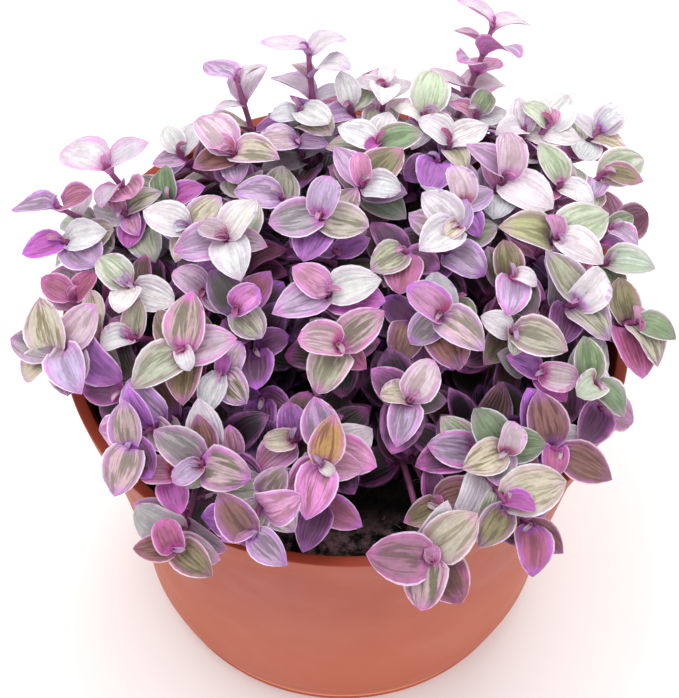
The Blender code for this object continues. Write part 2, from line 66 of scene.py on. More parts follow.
pot = dict(  # angles in degrees
    height=110 * mm, rimRadius=75 * mm, rimWidth=3.2 * mm, collarHeight=8 * mm, collarRadius=73.5 * mm,
    collarChamfer=2.5 * mm, collarRound=0.7 * mm, edgeRound=0.5 * mm, edgeDrop=0.1 * mm, flatInset=0.9 * mm,
    ringInset=0.2 * mm, bodyTopRadius=71.9 * mm, bodyLowRadius=57.9 * mm, bodyLowHeight=11 * mm,
    flare=1.25, bodySteps=24, seamStep=0.7 * mm, seamBevel=(0.12 * mm, 0.35 * mm), tuckRadius=52.6 * mm,
    tuckStep=10, footRadius=53.6 * mm, footRing=54.7 * mm, footHeight=2.4 * mm, footInset=1.5 * mm,
    footRound=0.4 * mm, wall=2.0 * mm, baseThickness=2.6 * mm, innerLowHeight=16 * mm,
    innerShares=(0.85, 0.65, 0.5, 0.35, 0.22), innerRound=1.2 * mm, floorRound=1.5 * mm, drainCount=5,
    drainRadius=4 * mm, drainCircle=34 * mm, drainSides=32, sides=160, sharpAngle=35,
)
soil = dict(
    edgeHeight=99 * mm, crown=1.5 * mm, sideHeights=(35 * mm, 55 * mm, 75 * mm), edgeFall=2.5 * mm,
    edgeDip=1.2 * mm, cornerInset=2 * mm, topBand=2 * mm, rings=44, sides=140, relief=1.3 * mm,
    roughScale=160, roughShare=0.8, fractal=(0.8, 2.2, 4), lumpScale=45, roughInset=0.5 * mm,
    roughFade=3 * mm, sinking=0.4 * mm,
)
stems = dict(
    radius=0.95 * mm, tipRadius=0.72 * mm, sides=5, rings=4, budLength=6 * mm, budStart=0.8, finePoints=14,
    finestPoints=28, fineSides=8, rootReach=0.62, rootLimit=60 * mm, rootTries=24, rootSpread=16 * mm,
    bareFront=-42 * mm, bareHalfWidth=46 * mm, startHolds=(0.4, 0.65, 0.9, 1.15), endHolds=(0.35, 0.2),
    forkShares=(0.55, 0.45, 0.65, 0.35, 0.75), forkRise=10 * mm,
)
mound = dict(height=30 * mm, atRim=14 * mm, flat=2.2, overhang=5 * mm, frontLowering=0.3)
tips = dict(
    upward=0.75, outward=0.45, toView=0.45, tall=10, tallBlend=4, hangOut=10 * mm, hangOutward=0.9,
    hangDownward=0.25,
)
leaves = dict(
    thickness=1.0 * mm, width=0.72, shortest=9 * mm, longest=19 * mm, cup=0.10, tipDrop=0.05,
    firstNode=1.0 * mm, spacing=1.3 * mm, tierSpacing=6.5 * mm, rise=0.20, riseStep=0.13, riseSteps=(-4, 6),
    swingStep=0.1, swingSteps=(-2, 3), cutStep=0.1, cutSteps=4, swingCost=1.5, cutCost=2.0,
    sections=((0.36, 1.0, 0.06), (0.74, 0.66, 0.042)),  # share of the length, of the width, arch
    hangLengths=(14 * mm, 15 * mm, 13 * mm, 12 * mm), hangTurn=98, hangToneStep=3,
)
# The lower leaves are darkened with their depth under the cushion as painted shade: more at the front, less
# near the back rim.
lowerLeaves = dict(
    first=1.6 * mm, spacing=2.2 * mm, spacingSpread=(0.85, 1.2), turnSpread=0.7, aboveSoil=4 * mm,
    longest=16 * mm, shortest=11 * mm, rises=(0.2, 0.45, 0.0, 0.7, -0.2, -0.45),
    swings=(0, 0.35, -0.35, 0.8, -0.8), upward=0.8, outward=0.3, frontOverhang=6 * mm,
    rimClearance=5 * mm, overRim=1 * mm, paleDepth=8 * mm, paleSpread=(0.4, 1.6), paintedShadeDepth=17 * mm,
    paintedShadeDarkest=0.1, frontPaintedShadeGain=2.2, backPaintedShadeLimit=0.6, seed=5,
)
view = dict(
    width=679, height=698, focal=2420, elevation=math.radians(54.6), roll=math.radians(0.8), distance=0.65,
    aim=Vector((-1.6 * mm, 0, pot["height"] - 12.9 * mm)), halvings=40, sensor=36, clipStart=0.02,
)
planSeed = 11
goldenAngle = math.radians(137.5)
# Left, top, right and bottom of the bare soil that the picture shows
openPatch = ((385, 462, 438, 500), (335, 500, 402, 556))
# Vines over the rim: place round the pot in degrees, drop under the rim in mm, turn of the first leaf
hanging = ((30, 16, 20), (50, 17, 100), (68, 15, 60), (87, 17, 10))

# Each vine is a list of shoots, the first one rooted and the others branching from it. A shoot is the
# place of its tip in the 679 x 698 picture, how far it stands over the mound in millimetres, and its
# leaves, each a direction in the picture in degrees, a length in picture units and a tone. A cup is a
# leaf that is still rolled at its foot, and a young leaf is a small cup at the very tip.
vines = (
    (((183, 350), 6, ((78, 60, "striped"), (218, 70, "sage"), (12, 58, "blush"), (268, 58, "olive"),
                      (128, 56, "olive"), (268, 26, "white", "young"))),),
    (((221, 372), 2, ((248, 46, "white"), (310, 44, "striped"), (60, 40, "blush"),
                      (70, 18, "magenta", "young"))),
     ((262, 400), -8, ((270, 50, "plum"), (200, 40, "plum"), (330, 40, "plum")))),
    (((52, 358), 3, ((100, 58, "ivory"), (168, 48, "grey"), (300, 58, "lilac"), (48, 56, "blush"),
                     (275, 56, "grey"), (214, 34, "ivory", "young"))),),
    (((128, 338), 1, ((205, 34, "white", "cup"), (80, 40, "sage"), (150, 34, "pink"))),
     ((121, 393), -3, ((172, 42, "plum"), (345, 44, "lilac")))),
    (((127, 452), 4, ((92, 50, "striped"), (258, 58, "striped"), (300, 46, "plum"),
                      (215, 20, "white", "young"))),),
    (((200, 465), 5, ((343, 60, "striped"), (148, 62, "grey"), (238, 34, "paleGreen"),
                      (103, 46, "brown"), (194, 32, "lilac", "young"))),
     ((232, 462), -3, ((325, 48, "plum"), (95, 26, "pink")))),
    (((168, 480), 0, ((290, 44, "magenta"), (185, 20, "pink", "cup"))),
     ((205, 498), -6, ((262, 50, "dark"), (310, 40, "dark"))),
     ((174, 549), 3, ((108, 38, "rose", "cup"), (182, 44, "brown"), (322, 52, "olive")))),
    (((250, 541), 4, ((125, 58, "brown"), (318, 52, "lilac"), (205, 24, "pink"),
                      (118, 20, "magenta", "young"))),),
    (((322, 465), 6, ((76, 56, "orange"), (254, 62, "candy"), (225, 54, "candy"), (352, 44, "pink"),
                      (300, 16, "white", "young"))),),
    (((326, 448), 1, ((103, 54, "lilac"), (338, 58, "pink"))),
     ((291, 440), 0, ((188, 36, "ivory", "cup"), (222, 50, "pink"), (100, 42, "violet")))),
    (((292, 488), -2, ((238, 46, "paleGreen"), (170, 40, "pink"))),
     ((322, 505), -3, ((248, 56, "plum"), (330, 50, "rose")))),
    (((410, 400), 5, ((58, 50, "blush"), (253, 54, "lilac"), (178, 30, "ivory", "cup"),
                      (140, 52, "plum"), (0, 44, "dark"))),),
    (((432, 562), 4, ((174, 72, "mauve"), (259, 60, "striped"), (40, 66, "ivory"), (301, 66, "brown"),
                      (97, 18, "pink", "young"))),),
    (((508, 511), 4, ((232, 54, "olive"), (336, 36, "magenta", "cup"), (14, 66, "ivory"))),
     ((530, 525), 0, ((270, 56, "rose"), (318, 48, "brown")))),
    (((506, 452), 5, ((203, 52, "ivory"), (128, 52, "green"), (2, 48, "green"), (262, 52, "grey"),
                      (320, 56, "brown"), (76, 30, "blush", "young"))),),
    (((438, 508), -3, ((205, 44, "olive"), (15, 56, "brown"), (100, 40, "plum"),
                       (130, 14, "rose", "young"))),
     ((474, 452), 0, ((172, 52, "lilac"), (132, 50, "paleGreen"), (195, 60, "plum")))),
    (((560, 452), 3, ((328, 62, "brown"), (262, 36, "rose", "cup"), (108, 60, "brown"))),),
    (((598, 384), 5, ((212, 38, "paleGreen", "cup"), (308, 50, "green"), (98, 48, "green"))),
     ((603, 408), 0, ((235, 52, "plum"),))),
    (((514, 330), 5, ((335, 60, "sage"), (158, 38, "white"), (262, 30, "paleGreen", "cup"))),
     ((543, 372), 2, ((350, 40, "blush", "cup"), (158, 42, "violet"), (310, 44, "magenta")))),
    (((578, 301), 5, ((128, 62, "sage"), (48, 44, "white", "cup"), (311, 56, "sage"),
                      (250, 50, "plum"))),),
    (((558, 236), 6, ((322, 56, "white"), (22, 58, "paleGreen"), (172, 66, "moss"),
                      (118, 22, "pink", "young"))),),
    (((513, 276), 4, ((258, 48, "lilac"), (290, 50, "dark"), (100, 42, "olive"), (330, 44, "plum"),
                      (330, 26, "white", "young"))),
     ((455, 300), -4, ((180, 50, "olive"), (300, 34, "green")))),
    (((440, 314), 5, ((150, 54, "pink", "cup"), (318, 62, "striped"), (225, 44, "grey"),
                      (290, 62, "brown"))),
     ((412, 322), -3, ((250, 50, "brown"), (140, 40, "plum")))),
    (((638, 322), 4, ((332, 46, "green"), (293, 56, "sage"), (105, 46, "olive"), (280, 66, "rose"),
                      (75, 34, "green"), (40, 28, "lilac"), (100, 16, "pink", "young"))),),
    (((608, 262), 3, ((348, 52, "paleGreen"), (300, 40, "green"), (215, 34, "rose"),
                      (270, 40, "rose"))),
     ((612, 226), 2, ((315, 36, "lilac"), (25, 30, "green"), (150, 36, "green")))),
    (((458, 226), 5, ((216, 54, "white"), (138, 52, "white"), (70, 34, "lilac"),
                      (200, 26, "ivory", "young"))),
     ((446, 250), -1, ((322, 52, "lilac"), (240, 40, "plum"))),
     ((462, 202), 3, ((112, 40, "blush", "cup"), (20, 36, "lilac"), (300, 40, "violet")))),
    (((506, 174), 5, ((150, 52, "lilac"), (98, 46, "blush", "cup"), (322, 62, "white"))),),
    (((562, 182), 2, ((125, 46, "paleGreen"), (325, 44, "white"), (215, 34, "rose"))),
     ((604, 172), 3, ((340, 42, "olive"), (18, 46, "paleGreen"), (250, 26, "lilac")))),
    (((600, 130), 4, ((40, 34, "white"), (150, 34, "white"), (330, 40, "ivory"), (240, 34, "white"),
                      (20, 24, "white", "young"))),
     ((590, 152), -2, ((190, 36, "rose"), (350, 30, "rose")))),
    (((550, 124), 6, ((148, 36, "paleGreen"), (52, 40, "white"), (340, 40, "white"),
                      (110, 16, "pink", "young"))),
     ((525, 128), 4, ((200, 38, "white"), (100, 34, "white"), (340, 46, "white")))),
    (((494, 22), 22, ((160, 46, "frost"), (354, 42, "frost"), (172, 38, "blush"), (318, 40, "lilac"),
                      (196, 26, "lilac"), (20, 24, "pink"), (177, 46, "frost"), (6, 40, "frost"))),),
    (((308, 48), 18, ((187, 50, "frost"), (14, 44, "frost"), (350, 46, "frost"), (152, 24, "blush"),
                      (166, 46, "frost"), (8, 42, "frost"), (205, 40, "lilac"), (35, 30, "frost"))),),
    (((236, 76), 14, ((166, 34, "lilac"), (22, 22, "frost"), (55, 38, "frost"), (205, 32, "frost"))),),
    (((105, 165), 12, ((168, 46, "frost"), (18, 54, "frost"), (255, 38, "frost"),
                       (310, 32, "pink"))),),
    (((55, 205), 10, ((195, 46, "lilac"), (8, 44, "rose"), (60, 30, "white"))),
     ((62, 240), 4, ((205, 44, "magenta"), (5, 50, "white"), (320, 50, "lilac")))),
    (((385, 86), 8, ((262, 30, "white"), (170, 28, "white"), (20, 30, "white"), (95, 30, "blush"),
                     (60, 18, "white", "young"))),
     ((350, 105), 4, ((110, 34, "white"), (40, 36, "paleGreen"), (200, 34, "lilac")))),
    (((377, 143), 4, ((165, 44, "white"), (10, 50, "green"), (70, 40, "white"),
                      (200, 18, "magenta", "young"))),
     ((362, 182), 3, ((100, 26, "pink", "cup"), (345, 44, "white"), (128, 48, "lilac"),
                      (40, 56, "olive")))),
    (((300, 108), 5, ((320, 40, "white"), (200, 34, "white"), (60, 30, "white"))),
     ((297, 140), 0, ((190, 44, "blush"), (350, 30, "lilac")))),
    (((232, 150), 5, ((138, 50, "blush"), (345, 54, "sage"), (202, 46, "brown"),
                      (150, 24, "pink", "young"))),
     ((178, 150), 0, ((120, 26, "white"), (60, 34, "white"), (200, 24, "lilac")))),
    (((425, 112), 5, ((75, 44, "paleGreen"), (170, 34, "white"), (330, 40, "paleGreen"),
                      (250, 36, "white"))),),
    (((450, 140), 3, ((150, 40, "white"), (20, 44, "white"), (300, 36, "ivory"))),
     ((438, 160), 0, ((250, 46, "violet"), (215, 44, "plum"))),
     ((478, 112), 1, ((60, 20, "green"), (160, 24, "pink"), (10, 34, "white")))),
    (((320, 213), 6, ((70, 40, "lilac", "cup"), (195, 56, "grey"), (343, 54, "sage"),
                      (250, 52, "violet"))),),
    (((225, 236), 6, ((45, 50, "white"), (290, 54, "white"), (197, 58, "lilac"), (350, 44, "grey"),
                      (155, 28, "blush", "young"))),
     ((205, 290), -2, ((150, 40, "lilac"), (330, 44, "grey")))),
    (((188, 226), 3, ((165, 48, "white"), (40, 46, "ivory"), (250, 40, "ivory"),
                      (180, 16, "white", "young"))),
     ((282, 196), -1, ((180, 50, "lilac"), (300, 36, "plum")))),
    (((328, 291), 6, ((148, 44, "pink"), (10, 58, "white"), (203, 64, "lilac"), (350, 62, "magenta"),
                      (175, 14, "pink", "young"))),
     ((335, 250), -3, ((180, 40, "violet"), (20, 40, "violet")))),
    (((338, 345), 6, ((178, 50, "striped", "cup"), (35, 62, "striped"), (247, 58, "sage"),
                      (322, 38, "rose"))),),
    (((236, 308), 3, ((30, 36, "candy", "cup"), (310, 44, "sage"), (125, 50, "dark"))),
     ((255, 350), -4, ((275, 50, "plum"), (20, 40, "plum")))),
    (((405, 250), 1, ((215, 46, "sage"), (262, 50, "rose"), (330, 44, "plum"))),),
    (((128, 284), 4, ((138, 42, "paleGreen"), (262, 40, "white"), (340, 46, "white"),
                      (140, 16, "lilac", "young"))),
     ((70, 296), 0, ((150, 34, "rose"), (40, 38, "rose")))),
    (((122, 212), 3, ((30, 44, "sage"), (300, 30, "pink"), (170, 40, "white"), (262, 36, "magenta"),
                      (120, 16, "pink", "young"))),
     ((168, 200), 1, ((95, 36, "green"), (20, 44, "magenta")))),
)

# A leaf's colours by its tone, as seen in soft light: body, streaks, margin, and how strong the streaks are
tones = dict(
    white=((234, 229, 232), (188, 178, 188), (254, 248, 254), 0.60),
    frost=((226, 215, 224), (196, 182, 195), (208, 172, 198), 0.55),
    ivory=((218, 208, 188), (142, 132, 96), (252, 240, 246), 0.85),
    blush=((230, 206, 218), (176, 146, 152), (254, 240, 248), 0.75),
    pink=((222, 160, 200), (164, 106, 122), (252, 224, 244), 0.80),
    candy=((226, 148, 210), (148, 92, 98), (252, 220, 246), 1.0),
    rose=((192, 110, 152), (138, 78, 88), (248, 206, 230), 0.75),
    magenta=((206, 106, 196), (144, 64, 112), (250, 208, 244), 0.65),
    lilac=((210, 180, 218), (146, 122, 146), (250, 236, 254), 0.80),
    violet=((172, 108, 188), (110, 64, 122), (236, 202, 246), 0.70),
    mauve=((166, 116, 146), (114, 82, 86), (240, 198, 234), 0.90),
    plum=((122, 66, 114), (78, 42, 72), (222, 174, 214), 0.70),
    grey=((184, 170, 178), (124, 110, 118), (244, 232, 242), 0.85),
    sage=((194, 190, 172), (124, 120, 98), (250, 240, 244), 0.85),
    striped=((210, 180, 190), (122, 116, 92), (252, 232, 244), 1.0),
    paleGreen=((202, 212, 190), (146, 162, 128), (252, 246, 248), 0.70),
    green=((138, 158, 124), (98, 116, 84), (238, 230, 236), 0.70),
    moss=((186, 186, 146), (134, 132, 96), (246, 232, 236), 0.75),
    olive=((152, 140, 108), (104, 92, 66), (240, 220, 226), 0.85),
    brown=((152, 106, 102), (98, 64, 60), (240, 200, 216), 0.85),
    # a leaf seen in shade: this tone's colours are painted shade
    dark=((88, 82, 80), (60, 58, 54), (190, 168, 182), 0.60),
    orange=((212, 166, 98), (150, 96, 84), (252, 230, 232), 0.90),
)
# The deeper leaves' tones, darker and more purple: partly their own colour, partly painted shade.
lowerTones = (
    "plum", "rose", "violet", "brown", "plum", "magenta", "mauve", "olive", "rose", "plum", "grey", "brown",
)
backTones = (
    "white", "lilac", "blush", "white", "striped", "paleGreen", "pink", "sage", "white", "violet", "ivory",
)
hangingTones = ("sage", "paleGreen", "blush", "green", "lilac")


def blend(first, second, share):
    return first + (second - first) * share


def linear(rgb):
    shares = [channel / 255 for channel in rgb]
    return tuple(s / 12.92 if s <= 0.04045 else ((s + 0.055) / 1.055) ** 2.4 for s in shares)


def bodyRadius(z):
    share = (z - pot["bodyLowHeight"]) / (pot["height"] - pot["collarHeight"] - pot["bodyLowHeight"])
    return blend(pot["bodyLowRadius"], pot["bodyTopRadius"], max(share, 0) ** pot["flare"])


def innerRadius(z):
    low = pot["innerLowHeight"]
    if z >= low:
        return bodyRadius(z) - pot["wall"]
    share = (z - pot["baseThickness"]) / (low - pot["baseThickness"])
    return blend(pot["footRadius"] - pot["wall"], bodyRadius(low) - pot["wall"], share)


def soilHeight(x, y):
    return soil["edgeHeight"] + soil["crown"] * (1 - (x * x + y * y) / innerRadius(soil["edgeHeight"]) ** 2)


def moundHeight(x, y):  # of the foliage over the rim's plane
    reach = math.hypot(x, y) / pot["rimRadius"]
    height = blend(mound["height"], mound["atRim"], reach ** mound["flat"])
    front = min(max(-y / pot["rimRadius"], 0), 1)
    return max(height * (1 - mound["frontLowering"] * front), mound["overhang"])


class Look:  # the direction that a place in the picture is seen along
    def __init__(self):
        e, r = view["elevation"], view["roll"]
        self.forward = Vector((0, math.cos(e), -math.sin(e)))
        level = Vector((1, 0, 0))
        upright = level.cross(self.forward)
        self.right = level * math.cos(r) + upright * math.sin(r)
        self.above = upright * math.cos(r) - level * math.sin(r)
        self.eye = view["aim"] - self.forward * view["distance"]

    def ray(self, place):
        across = (place[0] - view["width"] / 2) / view["focal"]
        down = (place[1] - view["height"] / 2) / view["focal"]
        return self.forward + self.right * across - self.above * down

    def place(self, point):
        away = point - self.eye
        depth = away.dot(self.forward)
        x = view["width"] / 2 + away.dot(self.right) / depth * view["focal"]
        return x, view["height"] / 2 - away.dot(self.above) / depth * view["focal"]


look = Look()


class Shoot:
    def __init__(self, tip, axis, leafList, tall=False):
        self.tip, self.axis, self.leafList, self.tall = tip, axis, leafList, tall
        self.curve = self.line = None
        self.placed, self.young = [], []

    def nodeDistance(self, index):  # from the tip; the leaves of a tall shoot stand in pairs
        if self.tall:
            return leaves["firstNode"] + index // 2 * leaves["tierSpacing"] + index % 2 * leaves["spacing"]
        return leaves["firstNode"] + index * leaves["spacing"]


def seenShoot(place, lift, leafList):
    ray = look.ray(place)
    near, far = view["distance"] / 2, view["distance"] * 2
    for _ in range(view["halvings"]):
        middle = (near + far) / 2
        tip = look.eye + ray * middle
        if tip.z > pot["height"] + moundHeight(tip.x, tip.y) + lift * mm:
            near = middle
        else:
            far = middle
    outward = Vector((tip.x, tip.y, 0)) / pot["rimRadius"]
    turning = min(max((tips["tall"] - lift) / tips["tallBlend"], 0), 1)  # none for a tall shoot
    toView = (look.eye - tip).normalized() * tips["toView"] * turning
    axis = (up * tips["upward"] + outward * tips["outward"] + toView).normalized()
    scale = view["focal"] / (tip - look.eye).dot(look.forward)
    placed, young = [], []
    for degrees, units, tone, *kind in leafList:
        angle = math.radians(degrees)
        flat = look.right * math.cos(angle) + look.above * math.sin(angle)
        along = flat - look.forward * (flat.dot(axis) / look.forward.dot(axis))
        length = units / scale * along.length
        if "young" in kind:
            young.append((along.normalized(), length, tone))
        else:
            length = min(max(length, leaves["shortest"]), leaves["longest"])
            placed.append((along.normalized(), length, tone, "cup" in kind))
    shoot = Shoot(tip, axis, placed, lift >= tips["tall"])
    shoot.young = young
    return shoot


def hangingShoot(degrees, drop, turn):
    angle = math.radians(degrees)
    outward = Vector((math.cos(angle), math.sin(angle), 0))
    tip = outward * (pot["rimRadius"] + tips["hangOut"]) + up * (pot["height"] - drop * mm)
    axis = (outward * tips["hangOutward"] - up * tips["hangDownward"]).normalized()
    side = up.cross(outward)
    above = axis.cross(side)
    placed = []
    for index, length in enumerate(leaves["hangLengths"]):
        around = math.radians(turn + index * leaves["hangTurn"])
        tone = hangingTones[(degrees + index * leaves["hangToneStep"]) % len(hangingTones)]
        placed.append((side * math.cos(around) + above * math.sin(around), length, tone, False))
    return Shoot(tip, axis, placed)


def bezier(points, share):
    rest = 1 - share
    start, leaving, arriving, end = points
    return start * rest**3 + leaving * 3 * rest**2 * share + arriving * 3 * rest * share**2 + end * share**3


def lineAlong(curve, steps):
    return [bezier(curve, index / steps) for index in range(steps + 1)]


def pointBeforeEnd(points, distance):
    for index in range(len(points) - 1, 0, -1):
        step = (points[index] - points[index - 1]).length
        if step >= distance:
            return points[index].lerp(points[index - 1], distance / step)
        distance -= step
    return points[0]


def lineLength(points):
    return sum((end - start).length for start, end in zip(points, points[1:]))


def tube(points, radius, axis):  # a plain closed stem with a pointed bud, which keeps other shapes off
    vertices, faces = [], []
    side = Vector((1, 0, 0))
    sides = stems["sides"]
    for index, point in enumerate(points):
        ahead = points[min(index + 1, len(points) - 1)]
        behind = points[max(index - 1, 0)]
        along = (ahead - behind).normalized()
        last = index == len(points) - 1
        if last:
            along = (along + axis).normalized()
        side = (side - along * side.dot(along)).normalized()
        across = along.cross(side)
        ring = radius * (stems["budStart"] if last else 1)
        for corner in range(sides):
            angle = 2 * math.pi * corner / sides
            vertices.append(point + (side * math.cos(angle) + across * math.sin(angle)) * ring)
    for index in range(len(points) - 1):
        low = index * sides
        for corner in range(sides):
            following = (corner + 1) % sides
            faces.append((low + corner, low + following, low + sides + following, low + sides + corner))
    faces.append(tuple(range(sides - 1, -1, -1)))
    top = (len(points) - 1) * sides
    vertices.append(points[-1] + axis * stems["budLength"])
    for corner in range(sides):
        faces.append((top + corner, top + (corner + 1) % sides, len(vertices) - 1))
    return vertices, faces


def lens(base, along, normal, length, grow=0.0):  # a leaf's plain solid, which keeps other shapes off
    side = along.cross(normal)
    half = length * leaves["width"] / 2 + grow
    thick = leaves["thickness"] / 2 + grow
    length = length + grow
    vertices = [base]
    for share, width, arch in leaves["sections"]:
        middle = base + along * (share * length) + normal * (arch * length)
        cup = normal * (leaves["cup"] * width * length)
        vertices += [middle - side * (half * width) + cup, middle + side * (half * width) + cup]
        vertices += [middle + normal * thick, middle - normal * thick]
    vertices.append(base + along * length - normal * (leaves["tipDrop"] * length))
    top = ((0, 3, 1), (0, 2, 3), (1, 3, 7), (1, 7, 5), (2, 7, 3), (2, 6, 7), (5, 7, 9), (6, 9, 7))
    under = {3: 4, 7: 8}
    faces = list(top) + [tuple(under.get(corner, corner) for corner in reversed(face)) for face in top]
    return vertices, faces


class Space:  # the shapes placed so far
    def __init__(self):
        self.lows, self.highs, self.trees, self.owners = [], [], [], []

    def keep(self, low, high, tree, owner=None):
        self.lows.append(low)
        self.highs.append(high)
        self.trees.append(tree)
        self.owners.append(owner)

    def add(self, shape, owner=None):
        corners = np.array(shape[0])
        self.keep(corners.min(axis=0), corners.max(axis=0), BVHTree.FromPolygons(*shape), owner)

    def near(self, low, high):
        if not self.trees:
            return ()
        meet = (np.array(self.lows) < high).all(axis=1) & (np.array(self.highs) > low).all(axis=1)
        return np.nonzero(meet)[0]

    def clear(self, shape, owner):
        corners = np.array(shape[0])
        tree = None
        for index in self.near(corners.min(axis=0), corners.max(axis=0)):
            if self.owners[index] == owner:
                continue
            tree = tree or BVHTree.FromPolygons(*shape)
            if tree.overlap(self.trees[index]):
                return False
        return True


def aboveSoil(vertices, clearance):
    for point in vertices:
        inside = math.hypot(point.x, point.y) < pot["rimRadius"]
        if inside and point.z < soilHeight(point.x, point.y) + clearance:
            return False
    return True


def roots(tip, chooser):  # places on the soil for a stem to grow from
    centre = Vector((tip.x, tip.y, 0)) * stems["rootReach"]
    turn = chooser.uniform(0, 2 * math.pi)
    for index in range(stems["rootTries"]):
        angle = turn + index * goldenAngle
        spread = stems["rootSpread"] * math.sqrt(index / stems["rootTries"])
        place = centre + Vector((math.cos(angle), math.sin(angle), 0)) * spread
        if place.length > stems["rootLimit"]:
            place *= stems["rootLimit"] / place.length
        if place.y < stems["bareFront"] and abs(place.x) < stems["bareHalfWidth"]:
            place.y = stems["bareFront"] + spread / 2
        yield place + up * (soilHeight(place.x, place.y) + gap)


def curves(start, direction, shoot):
    outward = Vector((shoot.tip.x, shoot.tip.y, 0)).normalized()
    distance = (shoot.tip - start).length
    arrivals = (shoot.axis, (shoot.axis + outward).normalized(), (outward - up).normalized(), -up)
    for leaving in stems["startHolds"]:
        for arrival in arrivals:
            for hold in stems["endHolds"]:
                first = start + direction * (leaving * distance)
                yield start, first, shoot.tip - arrival * (hold * distance), shoot.tip


def placeStem(shoot, starts, space, owner):
    for start, direction in starts:
        for curve in curves(start, direction, shoot):
            line = lineAlong(curve, stems["rings"])
            grown = tube(line, stems["radius"] + gap, shoot.axis)
            if aboveSoil(grown[0][stems["sides"]:], gap) and space.clear(grown, owner):
                shoot.curve, shoot.line = curve, line
                space.add(tube(line, stems["radius"], shoot.axis), owner)
                return True
    return False


leafTries = sorted(
    ((leaves["rise"] + rise * leaves["riseStep"], swing * leaves["swingStep"], 1 - cut * leaves["cutStep"])
     for rise in range(*leaves["riseSteps"]) for swing in range(*leaves["swingSteps"])
     for cut in range(leaves["cutSteps"])),
    key=lambda tried: abs(tried[0] - leaves["rise"]) + abs(tried[1]) * leaves["swingCost"]
    + (1 - tried[2]) * leaves["cutCost"],
)


def placeLeaf(base, axis, along, length, space, owner):  # (direction, normal, length) or None
    for rise, swing, share in leafTries:
        turned = along * math.cos(swing) + axis.cross(along) * math.sin(swing)
        pointing = turned * math.cos(rise) + axis * math.sin(rise)
        normal = axis * math.cos(rise) - turned * math.sin(rise)
        grown = lens(base, pointing, normal, length * share, gap)
        if aboveSoil(grown[0], gap) and space.clear(grown, owner):
            space.add(lens(base, pointing, normal, length * share), owner)
            return pointing, normal, length * share
    return None


def forks(shoot):
    length = lineLength(shoot.line)
    for share in stems["forkShares"]:
        yield pointBeforeEnd(shoot.line, length * (1 - share))


def hidesSoil(vertices):
    for point in vertices:
        x, y = look.place(point)
        if any(left < x < right and top < y < bottom for left, top, right, bottom in openPatch):
            return True
    return False


def keepsIn(vertices):  # lower leaves stay clear of the rim and off the soil that shows
    for point in vertices:
        reach = math.hypot(point.x, point.y)
        overFront = reach > pot["rimRadius"] + lowerLeaves["frontOverhang"] and point.y < 0
        nearRim = reach > pot["rimRadius"] - lowerLeaves["rimClearance"]
        if overFront or (nearRim and point.z < pot["height"] + lowerLeaves["overRim"]):
            return False
    return not hidesSoil(vertices)


def planPlant():
    space = Space()
    for name in ("pot", "soil"):
        data = frame["nodes"][name].data
        space.add(([v.co.copy() for v in data.vertices], [tuple(p.vertices) for p in data.polygons]), name)
    plan = [[seenShoot(*shoot) for shoot in shoots] for shoots in vines]
    plan += [[hangingShoot(*shoot)] for shoot in hanging]
    chooser = random.Random(planSeed)
    for owner, shoots in enumerate(plan):
        main = shoots[0]
        starts = [(root, up) for root in roots(main.tip, chooser)]
        for shoot in shoots:
            if shoot is not main:
                starts = [(s, (shoot.tip - s + up * stems["forkRise"]).normalized()) for s in forks(main)]
            if not placeStem(shoot, starts, space, owner) and shoot is main:
                break
    for owner, shoots in enumerate(plan):
        for shoot in (s for s in shoots if s.curve):
            fine = lineAlong(shoot.curve, stems["finestPoints"])
            for index, (along, length, tone, cup) in enumerate(shoot.leafList):
                distance = shoot.nodeDistance(index)
                base = pointBeforeEnd(shoot.line, distance)
                placed = placeLeaf(base, shoot.axis, along, length, space, owner)
                if placed:
                    shoot.placed.append((pointBeforeEnd(fine, distance), *placed, tone, cup))
    return plan


plan = planPlant()
print("planned", sum(len(shoots) for shoots in plan), "shoots")


# Helpers for meshes and node trees

def newObject(name, vertices, faces, smooth=True):
    mesh = bpy.data.meshes.new(name)
    mesh.from_pydata([tuple(v) for v in vertices], [], faces)
    mesh.polygons.foreach_set("use_smooth", [smooth] * len(mesh.polygons))
    made = bpy.data.objects.new(name, mesh)
    bpy.context.scene.collection.objects.link(made)
    return made


def bakedCopy(source, name):  # the evaluated mesh as a plain object of its own; the source goes
    graph = bpy.context.evaluated_depsgraph_get()
    mesh = bpy.data.meshes.new_from_object(source.evaluated_get(graph), depsgraph=graph)
    mesh.name = name
    finish = [material for material in mesh.materials if material]
    mesh.materials.clear()
    for material in finish[:1]:
        mesh.materials.append(material)
    mesh.polygons.foreach_set("material_index", [0] * len(mesh.polygons))
    old = source.data
    bpy.data.objects.remove(source)
    bpy.data.meshes.remove(old)
    made = bpy.data.objects.new(name, mesh)
    bpy.context.scene.collection.objects.link(made)
    return made


def newTree(name, kind, inputs, outputs):
    tree = bpy.data.node_groups.new(name, kind)
    for label, socketType, value in inputs:
        socket = tree.interface.new_socket(label, in_out="INPUT", socket_type=socketType)
        if value is not None:
            socket.default_value = value
    for label, socketType in outputs:
        tree.interface.new_socket(label, in_out="OUTPUT", socket_type=socketType)
    return tree


